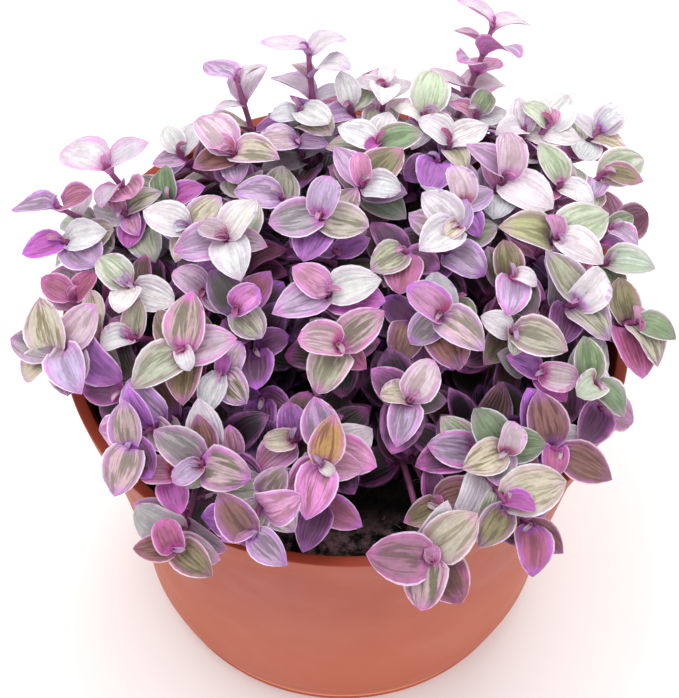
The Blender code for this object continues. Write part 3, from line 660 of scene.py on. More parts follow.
class Nodes:  # short ways to add and join nodes in one tree
    def __init__(self, tree):
        self.tree = tree

    def add(self, kind, settings=None, **inputs):
        node = self.tree.nodes.new(kind)
        for key, value in (settings or {}).items():
            setattr(node, key, value)
        self.fill(node, **inputs)
        return node

    def fill(self, node, **inputs):
        for key, value in inputs.items():
            self.feed(node, key.replace("_", " "), value)

    def feed(self, node, key, value):
        if isinstance(value, bpy.types.NodeSocket):
            self.tree.links.new(value, node.inputs[key])
        else:
            node.inputs[key].default_value = value

    def math(self, operation, *values):
        node = self.add("ShaderNodeMath", dict(operation=operation))
        for index, value in enumerate(values):
            self.feed(node, index, value)
        return node.outputs[0]

    def times(self, first, second):
        return self.math("MULTIPLY", first, second)

    def plus(self, first, second):
        return self.math("ADD", first, second)

    def minus(self, first, second):
        return self.math("SUBTRACT", first, second)

    def mix(self, share, first, second):
        node = self.add("ShaderNodeMix", dict(data_type="RGBA"))
        for index, value in ((0, share), (6, first), (7, second)):
            self.feed(node, index, value)
        return node.outputs[2]

    def ramp(self, value, low, high, toLow=0.0, toHigh=1.0):  # smooth change between two values
        node = self.add("ShaderNodeMapRange", dict(interpolation_type="SMOOTHSTEP"), Value=value,
                        From_Min=low, From_Max=high, To_Min=toLow, To_Max=toHigh)
        return node.outputs["Result"]

    def noise(self, vector, scale, detail=3.0, roughness=0.55):
        node = self.add("ShaderNodeTexNoise", Vector=vector, Scale=scale, Detail=detail,
                        Roughness=roughness)
        return node.outputs["Fac"]

    def attribute(self, name, output="Fac"):
        return self.add("ShaderNodeAttribute", dict(attribute_name=name)).outputs[output]

    def axes(self, vector):
        return self.add("ShaderNodeSeparateXYZ", Vector=vector).outputs

    def shapesOn(self, points, collection, index, rotation, scale):  # one shape on each point, made real
        shapes = self.add("GeometryNodeCollectionInfo", Collection=collection, Separate_Children=True,
                          Reset_Children=True)
        placed = self.add("GeometryNodeInstanceOnPoints", Points=points, Pick_Instance=True,
                          Instance=shapes.outputs["Instances"], Instance_Index=index, Rotation=rotation,
                          Scale=scale)
        real = self.add("GeometryNodeRealizeInstances", Geometry=placed.outputs["Instances"])
        return real.outputs["Geometry"]

    def finish(self, geometry, material):
        made = self.add("GeometryNodeSetMaterial", Geometry=geometry, Material=material)
        self.add("NodeGroupOutput", Geometry=made.outputs["Geometry"])


def grownPiece(name, mesh, tree, values):  # what the tree makes of a mesh, with its inputs by name
    source = bpy.data.objects.new(name + "_source", mesh)
    bpy.context.scene.collection.objects.link(source)
    modifier = source.modifiers.new("growth", "NODES")
    modifier.node_group = tree
    for item in tree.interface.items_tree:
        if item.in_out == "INPUT" and item.name in values:
            modifier[item.identifier] = values[item.name]
    return bakedCopy(source, name)


def newMaterial(name):
    material = bpy.data.materials.new(name)
    material.use_nodes = True
    nodes = Nodes(material.node_tree)
    return material, nodes, material.node_tree.nodes["Principled BSDF"]


palest = 0.95  # of any colour in a material


def rgba(colour, share=1.0):
    return (*(min(channel * share, palest) for channel in linear(colour)), 1.0)


# The leaf blade: one unit long, its foot on the stem's line at the origin, pointing along X, face towards Z

blade = dict(
    rows=(0, 0.05, 0.13, 0.25, 0.39, 0.54, 0.68, 0.81, 0.92, 1),  # shares of the length
    widths=(0.33, 0.46, 0.74, 0.95, 1.0, 0.94, 0.79, 0.54, 0.25, 0),  # shares of the half width
    bluntWidths=(0.33, 0.48, 0.78, 0.96, 1.0, 1.0, 0.95, 0.82, 0.56, 0),
    openWraps=(230, 190, 108, 62, 46, 38, 34, 30, 28, 24),  # the section's bend across, in degrees
    rolledWraps=(300, 300, 300, 275, 245, 212, 176, 138, 104, 72),
    openSlopes=(78, 68, 38, 14, 5, -1, -5, -10, -16, -22),  # the rise of the middle line, in degrees
    rolledSlopes=(86, 85, 80, 68, 52, 35, 18, 3, -9, -15),
    mostWrap=330, curlRow=2, droopRow=3, across=(-1, -0.52, 0, 0.52, 1), footReach=0.065, footDrop=0.06,
    thickness=0.042, footTaper=0.13, tipTaper=0.12, foldTaper=0.26, fullness=0.6, waves=3,
)
# Width, bluntness, curl of the section, fold at the midrib, droop, twist in degrees, wave and roll
openBlades = (
    (0.75, 0.1, 1.0, 0.08, 1.0, 0, 0.00, 0.0), (0.80, 0.3, 0.6, 0.05, 0.5, 7, 0.02, 0.0),
    (0.74, 0.0, 1.3, 0.15, 1.4, -9, 0.00, 0.0), (0.70, 0.1, 1.0, 0.26, 0.6, 4, 0.02, 0.0),
    (0.77, 0.4, 0.5, 0.12, 2.1, 12, 0.03, 0.0), (0.82, 0.4, 1.0, 0.02, -0.5, -6, 0.00, 0.0),
    (0.72, 0.0, 1.6, 0.08, 0.2, 14, 0.02, 0.0), (0.77, 0.2, 0.8, 0.18, 1.3, -14, 0.04, 0.0),
    (0.68, 0.0, 1.2, 0.10, 1.8, 9, 0.02, 0.0), (0.79, 0.2, 0.9, 0.10, 0.0, -10, 0.03, 0.05),
)
cupBlades = (
    (0.98, 0.5, 1.0, 0.0, 1.0, 10, 0.02, 0.52), (0.92, 0.3, 1.0, 0.0, 0.8, -14, 0.03, 0.62),
    (1.02, 0.7, 1.0, 0.0, 1.4, 16, 0.03, 0.44),
)
rolledBlades = ((0.62, 0.0, 1.12, 0.0, 1.0, 20, 0.0, 1.0), (0.72, 0.2, 1.15, 0.0, 1.2, -25, 0.0, 0.9))


def makeBlade(name, width, blunt, curl, fold, droop, twist, wave, roll):
    rows, across = blade["rows"], blade["across"]
    slopes, wraps = [], []
    for index in range(len(rows)):
        bend = blade["openSlopes"][index] * (1 if index < blade["droopRow"] else droop)
        wrap = blend(blade["openWraps"][index], blade["rolledWraps"][index], roll)
        wrap *= 1 if index < blade["curlRow"] else curl
        slopes.append(math.radians(blend(bend, blade["rolledSlopes"][index], roll)))
        wraps.append(math.radians(min(wrap, blade["mostWrap"])))
    centre = Vector((blade["footReach"], 0, -blade["footDrop"]))
    grid = {}
    for index, share in enumerate(rows):
        if index:
            slope = (slopes[index] + slopes[index - 1]) / 2
            centre = centre + Vector((math.cos(slope), 0, math.sin(slope))) * (share - rows[index - 1])
        slope = slopes[index]
        rising = Vector((-math.sin(slope), 0, math.cos(slope)))
        lean = math.radians(twist) * share
        sideways = Vector((0, 1, 0)) * math.cos(lean) + rising * math.sin(lean)
        rising = rising * math.cos(lean) - Vector((0, 1, 0)) * math.sin(lean)
        half = blend(blade["widths"][index], blade["bluntWidths"][index], blunt) * width / 2
        radius = half * 2 / wraps[index]
        taper = min(share / blade["footTaper"], 1) * min((1 - share) / blade["tipTaper"], 1)
        for column, place in enumerate(across):
            angle = place * wraps[index] / 2
            rise = radius * (1 - math.cos(angle))
            rise += fold * abs(radius * math.sin(angle)) * min(share / blade["foldTaper"], 1)
            rise += wave * math.sin(math.pi * (blade["waves"] * share + place)) * place * place
            middle = centre + sideways * (radius * math.sin(angle)) + rising * rise
            out = rising * math.cos(angle) - sideways * math.sin(angle)
            depth = blade["thickness"] / 2 * taper * (1 - place * place) ** blade["fullness"]
            grid[index, column] = (middle + out * depth, middle - out * depth)
    last, far = len(rows) - 1, len(across) - 1
    vertices, upper, lower = [], {}, {}
    for (index, column), (top, bottom) in grid.items():
        if index == last and column:
            upper[index, column] = lower[index, column] = upper[last, 0]
            continue
        upper[index, column] = len(vertices)
        vertices.append(top)
        if index in (0, last) or column in (0, far):
            lower[index, column] = upper[index, column]
        else:
            lower[index, column] = len(vertices)
            vertices.append(bottom)
    faces, corners = [], []
    for index in range(last):
        for column in range(far):
            square = [(index, column), (index + 1, column), (index + 1, column + 1), (index, column + 1)]
            for under, numbers in ((0, upper), (1, lower)):
                order = square if under else square[::-1]
                face = [numbers[key] for key in order]
                spots = [(across[key[1]] * 0.5 + 0.5 + 2 * under, rows[key[0]]) for key in order]
                kept = [spot for spot in range(4) if face[spot] not in face[:spot]]
                faces.append([face[spot] for spot in kept])
                corners += [spots[spot] for spot in kept]
    made = newObject(name, vertices, faces)
    layer = made.data.uv_layers.new(name="leafMap")
    layer.data.foreach_set("uv", [value for spot in corners for value in spot])
    margin = {frozenset((upper[i, c], upper[i + 1, c])) for i in range(last) for c in (0, far)}
    for edge in made.data.edges:
        edge.use_edge_sharp = frozenset(edge.vertices) in margin
    bpy.context.scene.collection.objects.unlink(made)
    return made


blades = bpy.data.collections.new("blades")
for index, shape in enumerate(openBlades + cupBlades + rolledBlades):
    blades.objects.link(makeBlade(f"blade_{index:02d}", *shape))
openShapes = range(len(openBlades))
cupShapes = range(len(openBlades), len(openBlades) + len(cupBlades))
rolledShapes = range(cupShapes.stop, cupShapes.stop + len(rolledBlades))


# One tree grows each vine: a blade on every point that is leafy, and a round stem along the edges

def vineTree():
    tree = newTree(
        "vineGrowth", "GeometryNodeTree",
        (("Geometry", "NodeSocketGeometry", None), ("Blades", "NodeSocketCollection", None),
         ("Stem Sides", "NodeSocketInt", stems["fineSides"]), ("Finish", "NodeSocketMaterial", None)),
        (("Geometry", "NodeSocketGeometry"),),
    )
    nodes = Nodes(tree)
    given = nodes.add("NodeGroupInput").outputs

    def named(name, kind):
        node = nodes.add("GeometryNodeInputNamedAttribute", dict(data_type=kind), Name=name)
        return node.outputs["Attribute"]

    leafy = nodes.math("GREATER_THAN", named("leafy", "FLOAT"), 0.5)
    parts = nodes.add("GeometryNodeSeparateGeometry", Geometry=given["Geometry"], Selection=leafy)
    turn = nodes.add("FunctionNodeAxesToRotation", dict(primary_axis="Z", secondary_axis="X"),
                     Primary_Axis=named("normal", "FLOAT_VECTOR"),
                     Secondary_Axis=named("along", "FLOAT_VECTOR"))
    grown = nodes.shapesOn(parts.outputs["Selection"], given["Blades"], named("blade", "INT"),
                           turn.outputs["Rotation"], named("size", "FLOAT"))
    line = nodes.add("GeometryNodeMeshToCurve", Mesh=parts.outputs["Inverted"])
    ring = nodes.add("GeometryNodeCurvePrimitiveCircle", Resolution=given["Stem Sides"], Radius=1.0)
    stem = nodes.add("GeometryNodeCurveToMesh", Curve=line.outputs["Curve"], Fill_Caps=True,
                     Profile_Curve=ring.outputs["Curve"], Scale=named("thick", "FLOAT"))
    joined = nodes.add("GeometryNodeJoinGeometry")
    tree.links.new(stem.outputs["Mesh"], joined.inputs[0])
    tree.links.new(grown, joined.inputs[0])
    nodes.finish(joined.outputs["Geometry"], given["Finish"])
    return tree


# The pattern of a leaf, from its own map: streaks along it, a flush at foot and tip, a pale margin

marks = dict(  # a pair or a four holds where a change begins and ends, and the values there
    seedSpread=40, broadAlong=1.1, broadDetail=2.0, thin=(8, 2.2, 3), thinRoughness=0.6, hair=(22, 3.0, 7),
    hairDetail=2.0, blotchScale=260, grainScale=1100, grainRoughness=0.65, ribTurns=27, thinShare=0.7,
    streak=(0.44, 0.56), streakSide=(0.98, 0.70), hairLines=(0.50, 0.60, 0, 0.6), hairGaps=(0.4, 0.6),
    foot=(0.30, 0.06), tip=(0.70, 1.0), side=(0.50, 1.0, 0, 0.85), patchShares=(0.6, 0.4),
    patch=(0.36, 0.60, 0.25, 1), throat=(0.34, 0.14), throatGaps=(0.25, 0.7, 0.7, 1),
    rib=(0.06, 0.015, 0, 0.28), ribEnd=(0.95, 0.6), marginSoftness=0.025, marginGaps=(0.3, 0.55, 0.75, 1.0),
    undersideShare=0.5, stalk=(0.4, 0.6), mottle=0.42, shade=(0.25, 0.75, 0.84, 1.06), ribShade=0.02,
    ribHeight=0.3, grainHeight=0.4, blotchHeight=0.8, midribDepth=2.0, roughness=(0.3, 0.7, 0.40, 0.56),
)


def leafPatternGroup():
    tree = newTree(
        "leafPattern", "ShaderNodeTree",
        (("Streak Width", "NodeSocketFloat", 2.6), ("Flush", "NodeSocketColor", (0.6, 0.2, 0.6, 1)),
         ("Underside", "NodeSocketColor", (0.3, 0.08, 0.3, 1)),
         ("Throat", "NodeSocketColor", (0.4, 0.06, 0.05, 1)), ("Margin", "NodeSocketFloat", 0.9)),
        (("Colour", "NodeSocketColor"), ("Roughness", "NodeSocketFloat"), ("Height", "NodeSocketFloat")),
    )
    nodes = Nodes(tree)
    given = nodes.add("NodeGroupInput").outputs
    spot = nodes.axes(nodes.add("ShaderNodeUVMap", dict(uv_map="leafMap")).outputs[0])
    under = nodes.math("GREATER_THAN", spot["X"], 1.5)  # the underside's map lies two units along
    across = nodes.times(nodes.minus(nodes.minus(spot["X"], nodes.times(under, 2)), 0.5), 2)
    along = spot["Y"]
    outer = nodes.math("ABSOLUTE", across)
    seed = nodes.attribute("seed")
    leafy = nodes.attribute("leafy")

    def place(acrossScale, alongScale, shift):
        node = nodes.add("ShaderNodeCombineXYZ", X=nodes.times(across, acrossScale),
                         Y=nodes.times(along, alongScale),
                         Z=nodes.plus(nodes.times(seed, marks["seedSpread"]), shift))
        return node.outputs[0]

    objectPlace = nodes.add("ShaderNodeTexCoord").outputs["Object"]
    broad = nodes.noise(place(given["Streak Width"], marks["broadAlong"], 0), 1.0, marks["broadDetail"])
    thin = nodes.noise(place(*marks["thin"]), 1.0, 3.0, marks["thinRoughness"])
    hair = nodes.noise(place(*marks["hair"]), 1.0, marks["hairDetail"], marks["thinRoughness"])
    blotch = nodes.noise(objectPlace, marks["blotchScale"])
    grain = nodes.noise(objectPlace, marks["grainScale"], 3.0, marks["grainRoughness"])
    ribs = nodes.times(nodes.math("COSINE", nodes.times(across, marks["ribTurns"])), leafy)
    streak = nodes.plus(broad, nodes.times(nodes.minus(thin, 0.5), marks["thinShare"]))
    streak = nodes.times(nodes.ramp(streak, *marks["streak"]), nodes.ramp(outer, *marks["streakSide"]))
    lines = nodes.times(nodes.ramp(hair, *marks["hairLines"]), nodes.ramp(thin, *marks["hairGaps"]))
    streak = nodes.times(nodes.math("MAXIMUM", streak, lines), nodes.attribute("streaking"))
    colour = nodes.mix(streak, nodes.attribute("body", "Color"), nodes.attribute("streak", "Color"))
    ends = nodes.math("MAXIMUM", nodes.ramp(along, *marks["foot"]), nodes.ramp(along, *marks["tip"]))
    ends = nodes.math("MAXIMUM", ends, nodes.ramp(outer, *marks["side"]))
    blotchShare, thinShare = marks["patchShares"]
    patchy = nodes.plus(nodes.times(blotch, blotchShare), nodes.times(thin, thinShare))
    flush = nodes.times(nodes.times(ends, nodes.ramp(patchy, *marks["patch"])), nodes.attribute("flush"))
    colour = nodes.mix(flush, colour, given["Flush"])
    throat = nodes.times(nodes.ramp(along, *marks["throat"]), nodes.attribute("youth"))
    throat = nodes.times(throat, nodes.ramp(thin, *marks["throatGaps"]))
    colour = nodes.mix(throat, colour, nodes.mix(seed, given["Throat"], given["Flush"]))
    rib = nodes.times(nodes.ramp(outer, *marks["rib"]), nodes.ramp(along, *marks["ribEnd"]))
    colour = nodes.mix(rib, colour, nodes.attribute("streak", "Color"))
    margin = nodes.ramp(outer, nodes.minus(given["Margin"], marks["marginSoftness"]), given["Margin"])
    margin = nodes.times(margin, nodes.ramp(thin, *marks["marginGaps"]))
    colour = nodes.mix(margin, colour, nodes.attribute("edge", "Color"))
    colour = nodes.mix(nodes.times(under, marks["undersideShare"]), colour, given["Underside"])
    stalk = nodes.mix(nodes.ramp(blotch, *marks["stalk"]), nodes.attribute("body", "Color"),
                      nodes.attribute("streak", "Color"))
    colour = nodes.mix(leafy, stalk, colour)
    mottle = nodes.times(nodes.minus(grain, 0.5), marks["mottle"])
    shade = nodes.plus(nodes.ramp(blotch, *marks["shade"]), mottle)
    shade = nodes.plus(shade, nodes.times(ribs, marks["ribShade"]))
    shaded = nodes.add("ShaderNodeHueSaturation", Value=shade, Color=colour)
    height = nodes.plus(nodes.times(ribs, marks["ribHeight"]), nodes.times(grain, marks["grainHeight"]))
    height = nodes.plus(height, nodes.times(blotch, marks["blotchHeight"]))
    height = nodes.minus(height, nodes.times(rib, marks["midribDepth"]))
    nodes.add("NodeGroupOutput", Colour=shaded.outputs[0], Height=height,
              Roughness=nodes.ramp(thin, *marks["roughness"]))
    return tree


leafFinishes = dict(
    leaf_sage=dict(streakWidth=2.4, flush=(216, 126, 212), underside=(186, 112, 176), margin=0.935,
                   softness=0.16),
    leaf_pink=dict(streakWidth=2.8, flush=(228, 110, 208), underside=(206, 108, 180), margin=0.93,
                   softness=0.18),
    leaf_lilac=dict(streakWidth=2.6, flush=(198, 110, 224), underside=(180, 110, 198), margin=0.94,
                    softness=0.17),
)
leafSkin = dict(throat=(184, 66, 52), bump=0.6, relief=0.3 * mm, scatter=(1.0, 0.5, 0.6),
                scatterDepth=1.2 * mm, specular=0.42)
leafPattern = leafPatternGroup()


def leafMaterial(name, finish):
    material, nodes, skin = newMaterial(name + "_finish")
    pattern = nodes.add("ShaderNodeGroup", dict(node_tree=leafPattern), Streak_Width=finish["streakWidth"],
                        Flush=rgba(finish["flush"]), Underside=rgba(finish["underside"]),
                        Throat=rgba(leafSkin["throat"]), Margin=finish["margin"])
    bump = nodes.add("ShaderNodeBump", Height=pattern.outputs["Height"], Strength=leafSkin["bump"],
                     Distance=leafSkin["relief"])
    nodes.fill(skin, Base_Color=pattern.outputs["Colour"], Roughness=pattern.outputs["Roughness"],
               Normal=bump.outputs[0], Subsurface_Weight=finish["softness"],
               Subsurface_Radius=leafSkin["scatter"], Subsurface_Scale=leafSkin["scatterDepth"],
               Specular_IOR_Level=leafSkin["specular"])
    return material


leafMaterials = {name: leafMaterial(name, finish) for name, finish in leafFinishes.items()}

growth = dict(
    cupReach=0.88, cupYouth=0.8, rollSize=(3.8 * mm, 4.8 * mm), budSize=(3.0 * mm, 3.6 * mm),
    youngInset=0.5 * mm, youngStreaking=0.7, streaking=(0.7, 1.1), swelling=1.22, stalkTop=(176, 92, 148),
    stalkLow=(84, 48, 66), stalkStreak=0.6, brightness=(-0.10, 0.06), tint=0.06, palest=0.92,
    # the front of the cushion is darkened as painted shade, to the share given on this line at the front
    # rim
    flush=(0.5, 1.5), plainFlush=0.75, paintedFrontShade=0.80, paintedShadeFrom=40 * mm, seed=21000,
)
flushes = dict(
    white=0.22, ivory=0.5, paleGreen=0.25, green=0.25, sage=0.5, dark=0.35, olive=0.4, brown=0.45,
    orange=0.5,
)
budTones = ("pink", "blush", "rose", "blush", "lilac")


class Growth:  # the points, edges and attributes that a vine is grown from
    def __init__(self, chooser):
        self.chooser = chooser
        self.places, self.edges, self.values = [], [], []

    def leaf(self, shape, base, along, normal, size, tone, youth=0.0, shade=1.0):
        body, streak, edge, streaking = tones[tone]
        if youth:
            streaking *= growth["youngStreaking"]
        chance = self.chooser.uniform
        # shade is painted shade, multiplied into the leaf's colours
        bright = shade * (1 + chance(*growth["brightness"]))
        tinted = [channel * (1 + chance(-growth["tint"], growth["tint"])) for channel in linear(body)]
        self.places.append(base)
        self.values.append(dict(
            leafy=1.0, along=along, normal=normal, size=size, blade=shape, seed=self.chooser.random(),
            youth=youth, body=(*(min(channel * bright, growth["palest"]) for channel in tinted), 1),
            streak=rgba(streak, bright), edge=rgba(edge, bright),
            streaking=streaking * chance(*growth["streaking"]), thick=0.0,
            flush=flushes.get(tone, growth["plainFlush"]) * chance(*growth["flush"]),
        ))

    def stem(self, points, nodesAt):
        total = lineLength(points)
        walked = 0.0
        for index, point in enumerate(points):
            if index:
                walked += (point - points[index - 1]).length
                self.edges.append((len(self.places) - 1, len(self.places)))
            share = walked / total
            near = max((1 - abs(total - walked - at) / mm for at in nodesAt), default=0)  # to a leaf's foot
            swell = max(1 + (growth["swelling"] - 1) * near, 1)
            colour = [blend(low, top, share) for low, top in zip(growth["stalkLow"], growth["stalkTop"])]
            self.places.append(point)
            self.values.append(dict(
                leafy=0.0, along=up, normal=up, size=1.0, blade=0, seed=0.0, youth=0.0, body=rgba(colour),
                streak=rgba(colour, growth["stalkStreak"]), edge=rgba(colour), streaking=0.0, flush=0.0,
                thick=blend(stems["radius"], stems["tipRadius"], share) * swell,
            ))

    def make(self, name, material, slot):
        mesh = bpy.data.meshes.new(name + "_points")
        mesh.from_pydata([tuple(place) for place in self.places], self.edges, [])
        kinds = dict(
            leafy="FLOAT", along="FLOAT_VECTOR", normal="FLOAT_VECTOR", size="FLOAT", blade="INT",
            seed="FLOAT", youth="FLOAT", body="FLOAT_COLOR", streak="FLOAT_COLOR", edge="FLOAT_COLOR",
            streaking="FLOAT", thick="FLOAT", flush="FLOAT",
        )
        fields = dict(FLOAT="value", INT="value", FLOAT_VECTOR="vector", FLOAT_COLOR="color")
        for key, kind in kinds.items():
            flat = [row[key] for row in self.values]
            if kind in ("FLOAT_VECTOR", "FLOAT_COLOR"):
                flat = [channel for value in flat for channel in value]
            mesh.attributes.new(key, kind, "POINT").data.foreach_set(fields[kind], flat)
        values = {"Blades": blades, "Stem Sides": stems["fineSides"], "Finish": material}
        piece = grownPiece(name, mesh, growthTree, values)
        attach(piece, "root")
        return piece


fitting = dict(footShare=0.2, shapesTried=5, rolls=(0, 0.16, -0.16, 0.3, -0.3),
               swings=(0, 0.2, -0.2, 0.4, -0.4))


class Crowd(Space):  # the blades placed so far, by their real shapes beyond the foot
    def __init__(self):
        super().__init__()
        self.outers = []
        for shape in sorted(blades.objects, key=lambda made: made.name):
            mesh = shape.data
            points = np.empty(len(mesh.vertices) * 3)
            mesh.vertices.foreach_get("co", points)
            layer = mesh.uv_layers["leafMap"].data
            faces = [tuple(face.vertices) for face in mesh.polygons
                     if min(layer[corner].uv[1] for corner in face.loop_indices) > fitting["footShare"]]
            self.outers.append((points.reshape(-1, 3), faces))

    def placed(self, shape, base, along, normal, size):
        points, faces = self.outers[shape]
        turn = np.array((along, normal.cross(along), normal))
        points = points @ turn * size + np.array(base)
        used = sorted({corner for face in faces for corner in face})
        return points, faces, points[used].min(axis=0), points[used].max(axis=0)

    def hits(self, blade):
        points, faces, low, high = blade
        tree = BVHTree.FromPolygons(points.tolist(), faces)
        return tree, sum(len(tree.overlap(self.trees[index])) for index in self.near(low, high))

    def fit(self, poses, worst):  # takes the first clear pose, or else the one that meets the fewest faces
        best = None
        for pose in poses:
            blade = self.placed(*pose)
            tree, met = self.hits(blade)
            if best is None or met < best[0]:
                best = (met, pose, blade, tree)
            if not met:
                break
        if best is None or best[0] > worst:
            return None
        self.keep(*best[2][2:], best[3])
        return best[1]


def rolledAbout(along, normal, angle):
    return normal * math.cos(angle) + along.cross(normal) * math.sin(angle)


def upperPoses(base, along, normal, length, shapes, chooser):
    for angle in fitting["rolls"]:
        for shape in chooser.sample(shapes, min(fitting["shapesTried"], len(shapes))):
            yield shape, base, along, rolledAbout(along, normal, angle), length


def youngPoses(base, axis, along, size, shapes, chooser):  # turned about the tip as little as needed
    across = axis.cross(along)
    for swing in fitting["swings"]:
        turned = along * math.cos(swing) + across * math.sin(swing)
        for shape in chooser.sample(shapes, len(shapes)):
            yield shape, base, turned, axis, size


def lowerPoses(base, axis, side, length, allowed, chooser):
    level = axis.orthogonal().normalized()
    for rise in lowerLeaves["rises"]:
        for swing in lowerLeaves["swings"]:
            around = side + swing
            flat = level * math.cos(around) + axis.cross(level) * math.sin(around)
            along = flat * math.cos(rise) + axis * math.sin(rise)
            normal = axis * math.cos(rise) - flat * math.sin(rise)
            outline = lens(base, along, normal, length)[0]
            if aboveSoil(outline, gap) and allowed(outline):
                yield chooser.choice(openShapes), base, along, normal, length


def growLowerLeaves(shoot, crowd, grow, chooser):
    fine = lineAlong(shoot.curve, stems["finestPoints"])
    total = lineLength(fine)
    distance = shoot.nodeDistance(len(shoot.leafList)) + lowerLeaves["first"]
    side = chooser.uniform(0, 2 * math.pi)
    while distance < total:
        base = pointBeforeEnd(fine, distance)
        if base.z < soilHeight(base.x, base.y) + lowerLeaves["aboveSoil"]:
            break
        reach = math.hypot(base.x, base.y)
        tangent = (pointBeforeEnd(fine, distance - mm) - base).normalized()
        outward = Vector((base.x, base.y, 0)) / pot["rimRadius"]
        axis = (tangent + up * lowerLeaves["upward"] + outward * lowerLeaves["outward"]).normalized()
        length = chooser.uniform(lowerLeaves["shortest"], lowerLeaves["longest"])
        allowed = keepsIn if reach < pot["rimRadius"] else (lambda outline: True)
        pose = crowd.fit(lowerPoses(base, axis, side, length, allowed, chooser), 0)
        # Painted shade: the deeper a leaf sits under the cushion's top, the darker its colours; the front
        # counts deeper and the back near the rim shallower. The shallower leaves take the paler tones.
        depth = pot["height"] + moundHeight(base.x, base.y) - base.z
        if base.y < 0:
            depth *= lowerLeaves["frontPaintedShadeGain"]
        else:
            depth = min(depth, max(pot["rimRadius"] - reach, 0) * lowerLeaves["backPaintedShadeLimit"])
        pale = depth < lowerLeaves["paleDepth"] * chooser.uniform(*lowerLeaves["paleSpread"])
        tone = chooser.choice(backTones if pale else lowerTones)
        share = min(max(depth / lowerLeaves["paintedShadeDepth"], 0), 1)
        if pose:
            grow.leaf(*pose, tone, 0, blend(1, lowerLeaves["paintedShadeDarkest"], share))
        side += math.pi + chooser.uniform(-lowerLeaves["turnSpread"], lowerLeaves["turnSpread"])
        distance += lowerLeaves["spacing"] * chooser.uniform(*lowerLeaves["spacingSpread"])


def growTip(shoot, crowd, grow, chooser):
    level = shoot.axis.orthogonal().normalized()
    base = shoot.tip - shoot.axis * growth["youngInset"]
    for along, length, tone in shoot.young:
        poses = youngPoses(base, shoot.axis, along, length / growth["cupReach"], cupShapes, chooser)
        grow.leaf(*crowd.fit(poses, math.inf), tone, growth["cupYouth"], paintedFrontShade(base))
    around = chooser.uniform(0, 2 * math.pi)
    along = level * math.cos(around) + shoot.axis.cross(level) * math.sin(around)
    size = chooser.uniform(*growth["budSize" if shoot.tall else "rollSize"])
    poses = youngPoses(shoot.tip, shoot.axis, along, size, rolledShapes, chooser)
    grow.leaf(*next(poses), chooser.choice(budTones), 1.0)


def paintedFrontShade(base):  # painted shade: the leaves towards the front of the cushion are darkened
    share = (growth["paintedShadeFrom"] - base.y) / (growth["paintedShadeFrom"] + pot["rimRadius"])
    return blend(1, growth["paintedFrontShade"], min(max(share, 0), 1))


def growPlant():
    crowd = Crowd()
    vineGrowths = [Growth(random.Random(growth["seed"] + number)) for number in range(len(plan))]
    chooser = random.Random(lowerLeaves["seed"])
    live = [(grow, shoot) for grow, shoots in zip(vineGrowths, plan) for shoot in shoots if shoot.curve]
    for grow, shoot in live:
        crowd.add(tube(shoot.line, stems["radius"], shoot.axis))
    for grow, shoot in live:
        for base, along, normal, length, tone, cup in shoot.placed:
            poses = upperPoses(base, along, normal, length, cupShapes if cup else openShapes, chooser)
            grow.leaf(*crowd.fit(poses, math.inf), tone, growth["cupYouth"] * cup, paintedFrontShade(base))
    for grow, shoot in live:
        growTip(shoot, crowd, grow, chooser)
    for grow, shoot in live:
        growLowerLeaves(shoot, crowd, grow, chooser)
        nodesAt = [shoot.nodeDistance(index) for index in range(len(shoot.leafList))]
        grow.stem(lineAlong(shoot.curve, stems["finePoints"]), nodesAt)
    print("fitted", len(crowd.trees), "leaves")
    for number, grow in enumerate(vineGrowths, 1):
        node = f"vine_{number:02d}"
        slot = ("leaf_sage", "leaf_pink", "leaf_lilac")[number % 3]
        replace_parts(grow.make(f"creeping_{node}", leafMaterials[slot], slot), node)


growthTree = vineTree()
growPlant()
print("grew", len(plan), "vines")


# The pot

# The pot's finish holds painted light and shade: the body lighter towards the bottom, a painted highlight
# along the top of the foot ring, and painted shade on the inside wall.
potFinish = dict(
    body=(160, 78, 60), warm=(166, 84, 64), dull=(146, 70, 55), lowerPaintedLight=(180, 95, 71), rim=(152, 58, 34),
    inside=(112, 42, 26), foot=(180, 82, 54), edge=(230, 146, 110), cloudScale=14, cloud=(0.3, 0.7),
    fleckScale=900, fleckRoughness=0.65, fleck=(0.60, 0.78, 0, 0.22), drawnScale=(60, 60, 6),
    drawn=(0.45, 0.75, 0, 0.35), lowerPaintedLightFrom=88 * mm, lowerPaintedLightTo=20 * mm, footBlend=(0.2 * mm, -0.1 * mm),
    paintedHighlightShares=(0.6, 0.75), glossScale=40, gloss=(0.3, 0.7, 0.48, 0.62), heightShare=0.6, bump=0.25,
    relief=0.18 * mm, specular=0.28, softness=0.05, softDepth=2 * mm,
)


def rounded(corners, steps=4, most=0.48):  # (radius, height, rounding) to a line with its corners eased
    line = []
    for index, (radius, height, rounding) in enumerate(corners):
        here = Vector((radius, height))
        if not rounding:
            line.append(here)
            continue
        back = Vector(corners[index - 1][:2]) - here
        on = Vector(corners[index + 1][:2]) - here
        reach = min(rounding / math.tan(back.angle(on) / 2), back.length * most, on.length * most)
        start, end = here + back.normalized() * reach, here + on.normalized() * reach
        for step in range(steps + 1):
            share = step / steps
            line.append(start * (1 - share) ** 2 + here * 2 * share * (1 - share) + end * share * share)
    return line


